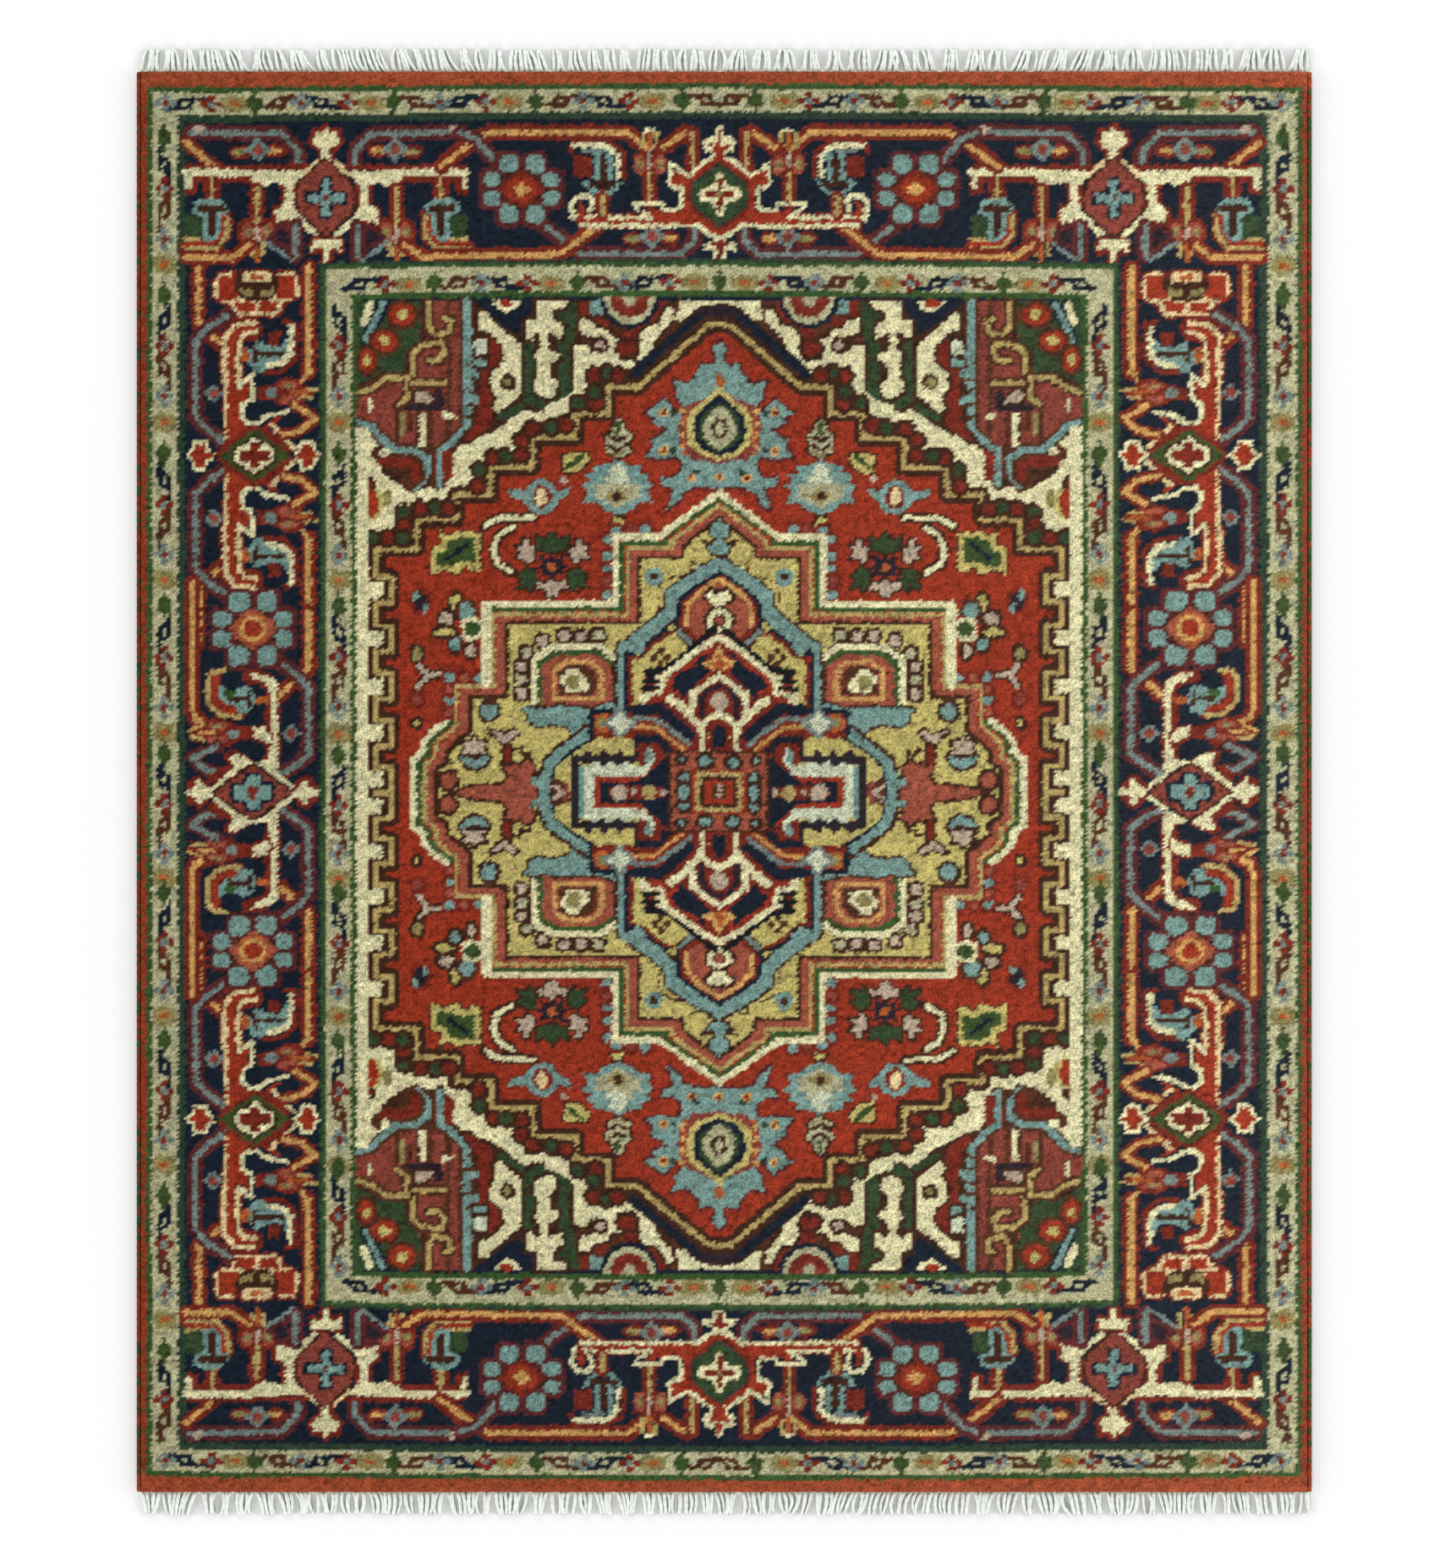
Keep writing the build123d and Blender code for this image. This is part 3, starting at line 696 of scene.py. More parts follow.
def corner_garden(k):
    """Flowers and hooks of the ivory corner."""
    # rose ground with its stripes
    k.fill("rose", 54.6, 54.2, 62, 54.2, 62, 86, 58.6, 89.6, 49.5, 88, 45, 84, 42, 82.4, 42, 75.6, 47, 72.6,
           53.4, 72.6)
    k.line("umber", 1.2, 42.2, 82.6, 45, 84, 49.5, 88.2, 58.4, 89.4, 62, 86, 62.2, 54.2)
    k.line("umber", 1.0, 59.4, 54.2, 59.4, 86)
    for x, y0, y1 in ((49.8, 80.6, 87.6), (52.2, 80.6, 84.6), (53.7, 80.4, 88.6), (56, 80.4, 88.6)):
        k.line("umber", 0.9, x, y0, x, y1)
    k.box("cream", 54.1, 80.8, 55.3, 88.6)
    k.box("olive", 50.2, 80.4, 51.2, 86)
    k.box("cream", 44.2, 77, 45.1, 80.6)
    k.fill("cream", 58.2, 80.2, 59.6, 80.8, 61.2, 82, 58.4, 82.2)
    k.fill("plum", 51, 78.6, 56.8, 78.6, 56.8, 75.4, 58.6, 75.4, 58.6, 80.2, 51, 80.2)
    k.edged("brown", 0.5, "pink", 53, 75.8, 54.6, 75.4, 56.2, 76.8, 56.6, 78.4, 53.4, 78.2)
    # green ground of the outer corner
    k.fill("forest", 42, 54.2, 54.4, 54.2, 54, 64, 52, 72, 46.6, 72, 42, 75)
    k.line("brown", 1.2, 54.8, 54.2, 54.8, 64, 52, 66.4, 51.8, 72, 47, 71.8, 42.4, 74.8)
    k.line("cream", 1.4, 44.6, 55.4, 43.4, 59.4)
    k.line("navy", 2.4, 47.2, 54.6, 44, 63.4)
    k.line("blue", 1.1, 47, 54.8, 43.8, 63.6)
    for x, y, rx, ry in ((50.7, 57.6, 2.5, 2.6), (47.4, 63.8, 2.4, 2.4), (44, 68.4, 1.5, 2.8)):
        k.bud("red", x, y, rx, ry, "umber")
        k.oval("gold", x, y - 0.2, rx * 0.45, ry * 0.5)
    # key-shaped gold lines
    for path in ((55.7, 54.6, 55.7, 60.2, 57, 62.6, 59.6, 61.6, 60, 59, 58.8, 58.6),
                 (52.7, 73.4, 52.7, 66.8, 54.2, 64.9, 58.2, 64.2, 58.8, 66.2, 57.8, 68.4, 55.8, 68.4),
                 (42.6, 75.8, 45, 74.8, 47.6, 72.4, 51.8, 72.4, 51.6, 75, 51.8, 77, 50, 78.6),
                 (53, 73.7, 58.8, 73.7)):
        k.ribbon("line", "umber", *path, width=1.0, total=2.3)
    # light blue stem
    for path in ((63, 54.4, 62.9, 84.4, 59.4, 88.6, 57.9, 89.8, 57.8, 97.6),
                 (42.6, 83, 44.8, 84, 49, 89.4, 53.4, 89.6, 55.6, 91.6, 55.6, 95, 53.6, 98, 51.8, 97.2)):
        k.ribbon("blue", "umber", *path, width=1.3, total=2.4)
    k.box("blue", 62.2, 61, 64, 85)
    for y in (71.6, 77.6, 84):
        k.fill("umber", 62.6, y - 2.9, 66, y - 0.6, 65.8, y + 1.6, 62.6, y + 1.6)
        k.fill("blue", 62.6, y - 2.2, 65.4, y - 0.3, 65.2, y + 0.9, 62.6, y + 0.9)
    # curled red horn
    k.fill("rust", 56.8, 90, 60.4, 89.6, 60.4, 96.4, 57, 96.6)
    k.line("blue", 1.2, 57.8, 90, 57.8, 97.6)
    k.line("umber", 3.0, 46.2, 90.4, 48, 92, 53.2, 92.8, 53.6, 96, 51.8, 97)
    k.line("rust", 1.9, 47.2, 92.2, 52, 92.4, 53.4, 93.6, 53.2, 95.8)
    k.oval("cream", 47.4, 89.8, 1.0, 1.2)
    k.bud("rust", 43.8, 97.4, 1.1, 1.2)
    k.oval("gold", 44.8, 102.2, 2.4, 3.8)
    k.oval("red", 44.6, 102.2, 1.6, 3.4)
    k.oval("olive", 47.8, 101, 0.9, 2.4)
    # red trunk with its leaf
    k.fill("brown", 64.4, 58, 69.6, 61.4, 71, 65, 70.6, 70.4, 68.2, 74, 68.2, 80, 73, 77.6, 73.6, 79.4,
           68, 84, 64, 88, 60.6, 88.4, 63.6, 84, 65.6, 78)
    k.fill("rust", 65.2, 63.6, 68.4, 63, 70, 65.6, 69.4, 69.4, 67.6, 72.4, 67.8, 83.6, 64, 87, 62.6, 87.2,
           65, 82, 65.6, 73)
    k.edged("brown", 0.6, "pale", 64.4, 63.6, 66.6, 63.6, 66.8, 67, 64.6, 67)
    k.edged("brown", 0.5, "blue", 64.4, 68.4, 66.8, 68, 66.8, 69.8, 64.6, 69.8)
    k.edged("brown", 0.6, "cream", 65.2, 57, 66.6, 57, 68.2, 59.4, 71, 62.4, 73.3, 64.6, 73.3, 76.2,
            71, 78.6, 69, 80.8, 68, 79.4, 68.7, 77, 67.5, 75, 67.5, 71.4, 69, 70, 70.1, 68.4, 70, 65.4,
            68.4, 63, 66.6, 61.2, 65.2, 61.6)
    k.bud("olive", 70.8, 73.4, 0.8, 1.0)
    k.line("forest", 1.4, 69.4, 82, 73.6, 79)
    # dark cup at the top
    k.fill("navy", 64, 54.2, 76.4, 54.2, 74.6, 58, 73.6, 62.4, 70.2, 60.4, 66, 56.2)
    k.fill("cream", 67.6, 54.2, 73.4, 54.2, 72.6, 56, 70.4, 57, 69, 56)
    k.oval("red", 70.4, 54.8, 1.3, 1.0)
    # green leaves either side of the cream flame
    k.edged("brown", 0.6, "forest", 74, 63.4, 76, 64.6, 76.2, 74, 77.6, 77.4, 80, 77.4, 80.4, 66,
            79.8, 55.6, 84, 54.4, 83.2, 64, 82.8, 77, 79.6, 80, 76, 79.8, 74, 78)
    k.edged("brown", 0.7, "cream", 76.2, 54.4, 82, 54.3, 81.6, 55.8, 79.4, 56.4, 79.3, 58.6, 81.2, 60.2,
            81, 63.4, 79.6, 62.6, 78.6, 61.6, 78.5, 65.6, 80.4, 67, 80.6, 68.4, 78.9, 68.8, 78.8, 72.4,
            80, 73.6, 79.8, 76.6, 78.4, 77.4, 76.2, 76, 75.7, 73.6, 76.6, 72, 76.4, 68.6, 75.8, 66.8,
            77, 65.4, 77, 62.2, 76, 61.8, 75.4, 63.4, 74.2, 63, 74.2, 59, 76.2, 58.8)
    # red ground with the ring palmette
    k.fill("umber", 84.2, 54.2, 104, 54.2, 102.6, 57.6, 103.4, 60, 99, 64, 98, 69, 94, 72.6, 84, 72,
           83.4, 60)
    k.box("blue", 86.2, 54.2, 88.7, 57.6)
    k.fill("rust", 84.6, 54.2, 86, 54.2, 86, 58, 88.8, 58.4, 90.4, 61, 88, 60.8, 86.4, 58.8, 84.6, 58)
    k.fill("rust", 99, 54.2, 101, 54.6, 99.6, 58.6, 97, 60.2, 95.2, 61.4, 95.2, 66.6, 92.4, 67.4,
           91.6, 66.2, 93.6, 65, 92.6, 62.6, 92, 61.4, 97.4, 59)
    k.oval("navy", 93.8, 53, 5.9, 7.9)
    k.oval("beige", 93.8, 53, 5.0, 6.7)
    k.oval("rust", 93.8, 53, 3.9, 5.2)
    k.oval("rose", 93.8, 53, 2.6, 3.8)
    k.oval("grey", 93.8, 53, 1.3, 2.6)
    k.line("rust", 0.8, 91.6, 54.6, 92.6, 56.4, 95, 56.4, 96, 54.6)
    # cream trellis
    k.edged("brown", 0.7, "cream", 84.3, 58.8, 86, 58.8, 87.2, 60.6, 89.6, 61.4, 90.2, 63, 93, 63.8,
            93.2, 65, 91.2, 66, 91.6, 68, 94.4, 69, 95.6, 67.6, 96, 65, 95.8, 62, 97.2, 60.4, 99.4, 60,
            100.2, 57.6, 101, 55.8, 102.2, 56.2, 102, 59, 99.6, 62, 98.6, 64, 98.4, 67.6, 96.2, 70.2,
            94.4, 72.2, 91.4, 70.6, 88, 70.2, 86.6, 72, 86, 76, 83.4, 78.6, 83.2, 65, 85.4, 64.8,
            86.6, 66.4, 89, 66.4, 88.4, 64.4, 86.4, 62.6, 84.4, 62)
    k.fill("cream", 83.4, 67.4, 90, 68, 95, 68.8, 97.6, 65.8, 97.8, 68.6, 95.4, 71.6, 94, 72.2, 91, 71,
           88, 70.8, 86.4, 71.6, 83.4, 74)
    k.edged("brown", 0.6, "rust", 91.6, 64.6, 94.6, 63.8, 95.2, 66.8, 92.8, 67.2, 91.4, 66.2)
    k.bud("pink", 88.2, 64.8, 0.9, 1.0)
    k.line("umber", 1.0, 103.4, 54.4, 102.6, 57.2, 103.4, 59.4)
    k.fill("cream", 103.4, 54.2, 111.5, 54.2, 111.5, 56, 107.4, 56.4, 105.4, 58.4, 103.4, 59.2, 102.4, 58.4,
           103.2, 56.4)
    k.fill("cream", 77.8, 78.8, 80.4, 77.8, 82.2, 76.6, 83.2, 75.2, 83.4, 70, 86.2, 70.4, 86.2, 74.6,
           85.2, 77.6, 83.6, 79.6, 80.4, 81.2, 77.8, 82)
    # dark slanting bar under the top of the field
    k.line("brown", 4.2, 111.5, 57.4, 108, 58.2, 95.4, 72)
    k.line("plum", 2.6, 111.5, 57, 107.8, 57.8, 95, 71.8)
    k.line("navy", 2.8, 106.4, 59.4, 95.2, 71.6)


def cream_bands(k):
    """Cream ground of the corner, before the garden is drawn over it."""
    k.fill("brown", 42, 54.2, 111.5, 54.2, 111.5, 60, 95, 74, 89, 74, 89, 80, 83, 80, 83, 86, 75, 86,
           75, 93, 67, 93, 67, 99.6, 60.4, 99.6, 60.4, 105.4, 53, 105.4, 53, 112, 44.4, 112, 42, 112)
    k.fill("cream", 42, 84, 44.8, 84.6, 46.4, 87.6, 48.6, 90.4, 46.4, 92.4, 46.6, 94.6, 49.6, 97.4, 53, 99,
           57, 98, 60.2, 96.4, 60.2, 91, 61.8, 88.2, 64.4, 86.6, 67.4, 85.6, 69.8, 83.8, 72.2, 81.2,
           74.6, 79.6, 77.6, 79, 80.4, 77.6, 82.8, 75.8, 83.2, 70, 86.4, 70, 86.4, 75.4, 85.4, 78,
           83.6, 79.9, 80.4, 81.4, 77.2, 82.8, 75.4, 84.4, 73.4, 86.8, 72.2, 89.2, 69, 90.2, 67, 92,
           65.2, 93.6, 64.8, 96.8, 63.2, 99, 60.2, 100.8, 59.4, 102, 53, 102, 50, 103.2, 49.4, 107,
           48.2, 109, 44.2, 109.8, 44.2, 172, 42, 172)


def pendant(k):
    """Blue pendant with its oval, above the medallion; drawn for one half."""
    k.edged("wine", 0.5, "blue", 111, 64, 109.7, 65.6, 110.4, 68, 110, 69.6, 107.4, 69.2, 107, 71.2,
            106, 72.4, 105, 74, 102, 73.2, 103, 75.6, 102.6, 77, 104.4, 79.4, 103.2, 80.8, 101.6, 79,
            100.6, 77.4, 98.8, 79, 96.8, 80.8, 98.6, 81.7, 98.6, 83, 100, 84, 101.4, 84.2, 100, 85.6,
            98, 87, 98.4, 88.6, 96.8, 91, 99, 91.4, 101, 91.4, 103, 91, 104, 92.6, 103.6, 95, 102, 96.4,
            100, 96, 100.4, 98, 102.4, 98.6, 102, 100.6, 101, 104, 103.4, 101.6, 104, 99.6, 106, 98.6,
            108, 98.2, 111, 98.6)
    k.fill("rose", 111, 75.4, 107.4, 77.6, 104.2, 79, 103, 83.6, 103.4, 89, 106, 92.2, 108.4, 92, 111, 93)
    k.fill("gold", 111, 73.4, 110, 75.8, 107.8, 78, 105.4, 80.2, 104.7, 84, 105, 88, 107, 90.4, 111, 92.3)
    for y in (80.4, 83.2, 86, 88.8):
        k.oval("peach", 103.9, y, 0.6, 0.7)
        k.oval("orange", 104.4, y + 1.4, 0.45, 0.6)
    k.fill("navy", 111, 76.4, 108.8, 78.6, 106.4, 81.2, 106, 84, 106.2, 87.2, 107.8, 89.6, 111, 91)
    k.fill("forest", 111, 77.8, 109.2, 79.6, 107.2, 82, 107.1, 86.6, 108.8, 88.8, 111, 90.2)
    k.fill("grey", 111, 78.8, 109.4, 80.4, 108, 83, 108, 86.2, 109.6, 88.6, 111, 89.6)
    k.line("brown", 0.7, 110.6, 82.4, 109.7, 84.2, 110.2, 86, 111, 86.6)
    k.oval("orange", 111, 73.2, 0.9, 1.6)
    for x, y in ((100.4, 80.6), (100.4, 89.6), (105.7, 96.2), (111, 96.2)):
        k.oval("peach", x, y, 0.95, 1.1)
        k.oval("rust", x, y, 0.45, 0.6)
    for x, y in ((102.2, 80.6), (102.2, 89.6), (106.6, 94.8)):
        k.oval("teal", x, y, 0.6, 0.8)


def medallion(k):
    """Stepped gold medallion; drawn for one quarter."""
    inner = [57.2, 171, 57.2, 165, 59.5, 163, 59.6, 160.3, 63.7, 156, 63.7, 147.6, 70.6, 147.6, 70.6, 130.2,
             95.5, 130.2, 95.5, 115, 104, 115, 104, 112.3, 111.5, 104.8]
    k.fill("gold", *inner, 111.5, 171)
    k.line("brown", 1.0, *inner)
    k.line("terra", 1.3, 56.1, 171, 56.1, 164.4, 58.4, 162.2, 58.5, 159.4, 62.5, 155.4, 62.5, 146.4,
           69.5, 146.4, 69.5, 129.3, 94.5, 129.3, 94.5, 114, 103, 114, 103, 111.8, 111.5, 103.6)
    k.line("line", 0.8, 55, 171, 55, 163.7, 57.1, 162, 57.3, 158.6, 61.2, 154.4, 61.2, 145.2, 68.2, 145.2,
           68.2, 128.4, 93.3, 128.4, 93.3, 112.8, 102, 112.8, 102, 111, 111.5, 102.2)
    k.line("green", 1.0, 53.9, 171, 53.9, 163, 56, 161.2, 56.2, 158, 57.8, 155.9, 60.2, 153.8)
    k.line("green", 0.95, 67.4, 127.2, 92.3, 127.2, 92.3, 111.7, 100.8, 111.7, 100.8, 110, 111.5, 100.8)
    k.line("cream", 1.2, 52.8, 171, 52.8, 162.4, 54.8, 160.7, 54.9, 158.4, 56.4, 156, 59.2, 153.6)
    k.line("cream", 1.9, 66.7, 144.6, 66.7, 126.6)
    k.line("cream", 1.25, 66.6, 126, 91.1, 126, 91.1, 110.1, 99.4, 110.1, 111.5, 99.2)


def medallion_square(k):
    """Beaded square in each quarter of the medallion."""
    for x, y in ((74.4, 137.4), (73.4, 140.6), (73.4, 143.6), (73.4, 147), (77.4, 134.6), (81.4, 133.4),
                 (84.6, 133.6), (87.8, 133.4)):
        k.edged("brown", 0.7, "grey" if int(x + y) % 2 else "pink", x - 1, y - 0.8, x - 0.5, y - 1.2,
                x + 0.8, y - 1.1, x + 1.1, y + 0.6, x + 0.4, y + 1.2, x - 0.8, y + 1.1)
    k.fill("brown", 75, 150.2, 75, 138.4, 78.6, 135.2, 88.4, 134.8, 91.8, 138.4, 91.8, 150.4)
    k.line("cream", 1.2, 75.8, 150, 75.8, 139, 79, 136.1, 88.2, 135.9, 91, 138.6)
    k.fill("green", 76.5, 150, 76.5, 139.5, 79.8, 136.8, 87.8, 136.6, 90.6, 139.4, 90.6, 150)
    k.fill("terra", 77.5, 150.6, 77.5, 140.2, 80.4, 138, 87, 137.8, 90.6, 140.6, 90.6, 149, 88, 150.8,
           80, 150.8)
    k.line("peach", 0.9, 79.6, 148.2, 79.6, 141.4, 82, 139.4, 86.4, 139.5, 88.5, 142, 88.5, 148.2,
           79.6, 148.2)
    k.fill("umber", 80.4, 147.4, 80.4, 141.8, 82.4, 140.2, 86, 140.4, 87.6, 142.6, 87.6, 147.4)
    k.fill("cream", 82.2, 140.9, 83.8, 140.9, 84.8, 142.6, 86.1, 144, 86, 146.6, 82, 146.7, 81.5, 145,
           80.6, 144.2, 80.8, 142.8, 81.8, 142.4)
    k.oval("olive", 83.2, 144.4, 1.4, 1.8)
    # blue ground below it
    k.edged("brown", 0.5, "blue", 73.6, 150.6, 76, 150.2, 78, 150.8, 80, 150, 87, 150.6, 91, 149,
            91.6, 150.2, 86.8, 151.4, 86.4, 156.4, 84.4, 158.4, 81.4, 161.4, 79.6, 160.4, 83.6, 157,
            82, 154.9, 79.4, 154.2, 76.6, 154.8, 74.6, 153.4, 75, 152)


def medallion_star(k):
    """Blue-outlined star with its panels; drawn for one quarter."""
    star = [94.6, 135, 99, 131, 101.8, 127.6, 102.2, 124, 106, 120.4, 111.5, 116.6]
    # gold ground details outside the star
    k.edged("brown", 0.4, "gold", 99.8, 126.6, 99.8, 121.4, 102.8, 119.8, 105.6, 120.6, 105.6, 116.4,
            107.6, 117.4, 110, 115.4, 111.5, 116, 111.5, 120, 103, 128)
    k.oval("blue", 98.5, 119.6, 1.7, 2.2)
    k.oval("brown", 98.5, 119.6, 0.8, 1.0)
    k.edged("brown", 0.5, "blue", 111, 105.6, 110.2, 107, 109.2, 107.6, 109.2, 109.6, 110.4, 110.6,
            110, 111.6, 108.6, 112.4, 109.6, 114.2, 111, 114.4)
    k.line("brown", 0.8, 107.6, 111.2, 109.4, 112)
    for colour, wide, narrow in (("brown", 3.6, 2.4), ("blue", 2.6, 1.4)):
        k.line(colour, wide, *star)
        k.line(colour, narrow, 92.2, 149.6, 92.2, 136)
    k.fill("blue", 91.4, 136.6, 92.6, 134.6, 94.6, 133.4, 97.4, 136, 95.2, 138, 93.4, 136.8)
    k.fill("blue", 100.6, 123, 103.6, 121.6, 104.4, 125, 101, 127.6)
    k.fill("blue", 106.8, 116.8, 108.2, 118.4, 110, 117, 111.5, 113.6, 111.5, 119, 106.6, 120.6)
    k.fill("navy", 92.8, 151, 92.8, 137.2, 93.6, 136.6, 95.4, 138.2, 96.8, 136.4, 97.4, 134.8, 98.8, 133.6,
           100.6, 131.4, 102.4, 132.4, 103, 125, 106.6, 121.6, 111.5, 117.8, 111.5, 151)
    k.fill("rust", 93.6, 151, 93.6, 138.2, 96, 138.2, 97.6, 135.8, 99, 134.2, 101, 132.8, 103.6, 132,
           103.6, 129, 103.8, 125.6, 107, 122.2, 111.5, 118.8, 111.5, 151)
    k.fill("gold", 94.6, 151, 94.6, 139, 96.8, 138.2, 98.4, 136, 101.4, 133.4, 102.8, 133, 105.8, 137.2,
           103.6, 139.6, 101, 141, 97, 142, 96, 150.4)
    k.fill("terra", 111.5, 119.4, 107.4, 123, 104.6, 126.2, 104.4, 131.2, 108.2, 134.8, 111.5, 132)
    k.line("peach", 0.9, 111.5, 119.8, 107.2, 123.4, 104.9, 126.4, 104.7, 131)
    k.ribbon("slate", "brown", 103.4, 132.6, 106.4, 136.2, width=0.9, total=1.8)
    k.edged("brown", 0.6, "cream", 111.5, 122.6, 110.4, 123.8, 109.4, 123, 108.4, 124.6, 109.4, 125.4,
            110.4, 127, 111.5, 127.2)
    k.edged("brown", 0.6, "cream", 111.5, 127.2, 109.8, 127.6, 108.6, 129, 108.7, 131, 110, 132.4,
            111.5, 132.8)
    k.oval("umber", 111, 130, 1.3, 1.6)
    k.oval("terra", 111, 130, 0.7, 0.9)
    for x, y in ((99.8, 136.9), (98.6, 138.5), (101, 138.5), (99.8, 140.1)):
        k.oval("umber", x, y, 0.75, 0.9)
    # black hooks and the cream slope
    k.line("black", 1.2, 97, 142, 100.8, 141.2, 103.6, 138.8, 106.6, 135.6, 110, 132)
    k.line("cream", 1.2, 100.4, 143, 103.2, 140.4, 106.6, 137.2, 110.8, 133.9)
    k.line("red", 0.8, 101.4, 144, 104.6, 141.2, 108, 138)
    k.fill("cream", 98.8, 142.6, 101, 142.4, 100.6, 148, 99.8, 148.6, 99.2, 147.2, 97.6, 148, 97.6, 150.2,
           95.8, 150.2, 95.8, 147, 98.8, 146.4)
    k.box("black", 97.3, 142, 98.7, 144.2)
    k.line("black", 0.8, 96.4, 144.1, 99.4, 144)
    k.line("black", 0.9, 96.3, 145.9, 99.4, 145.7)
    k.line("red", 1.0, 98, 148.6, 99.6, 148.4, 100.8, 147.4, 101.3, 144.4)
    # navy rhombus and orange heart
    k.edged("red", 0.6, "navy", 102, 144.8, 102.6, 143, 106.4, 140.4, 107.6, 138.2, 109, 137, 108, 140,
            109.2, 141.8, 106.4, 145.4, 105.2, 148.4, 103.8, 148.6, 103.4, 146.4, 102.2, 146.2)
    k.fill("rust", 111.5, 134.4, 110.4, 135.6, 108.6, 139, 109.6, 142.4, 111.5, 144)
    k.fill("orange", 111.5, 136, 110.4, 138, 109.2, 140.2, 110.4, 142.2, 111.5, 142.6)
    k.line("peach", 0.7, 110.9, 136.2, 110, 139.2, 108.2, 140, 109.8, 141)
    # forked cream branch over the dark arch
    k.line("rust", 3.2, 101.8, 148.6, 104, 151, 106.8, 154.6, 107.5, 160.2)
    k.line("rust", 2.8, 106, 151.6, 105.9, 148.2, 107.6, 146, 111.5, 142.6)
    k.line("rust", 2.6, 107.6, 155, 109.4, 152.8, 111.5, 151.8)
    k.fill("rust", 111.5, 143.6, 108.6, 146, 106.8, 148.4, 106.6, 152.4, 107.6, 153.8, 109.6, 151.8,
           111.5, 151)
    k.line("plum", 1.3, 107.6, 152.4, 107.5, 149, 109, 146.4, 111.5, 145)
    k.oval("rust", 111, 149, 2.5, 3.1)
    k.oval("pink", 111, 149, 1.7, 2.2)
    k.line("cream", 1.6, 101.8, 148.4, 103.2, 149.6, 104.2, 150.8, 105.8, 152.8)
    k.line("cream", 1.3, 105.9, 147.2, 106, 149.6, 105.6, 152.4)
    k.line("cream", 1.2, 106, 147.6, 107.8, 145.6, 109.8, 143.8, 111.5, 142.4)
    k.line("cream", 1.3, 105.4, 152, 106.8, 154, 107.5, 155.4, 107.5, 160.4)
    k.line("cream", 1.2, 107.4, 155, 109.2, 153, 111.5, 151.8)
    k.edged("rust", 0.7, "navy", 109.7, 160, 109.7, 156, 110.4, 154.6, 111.5, 153.8, 111.5, 160)


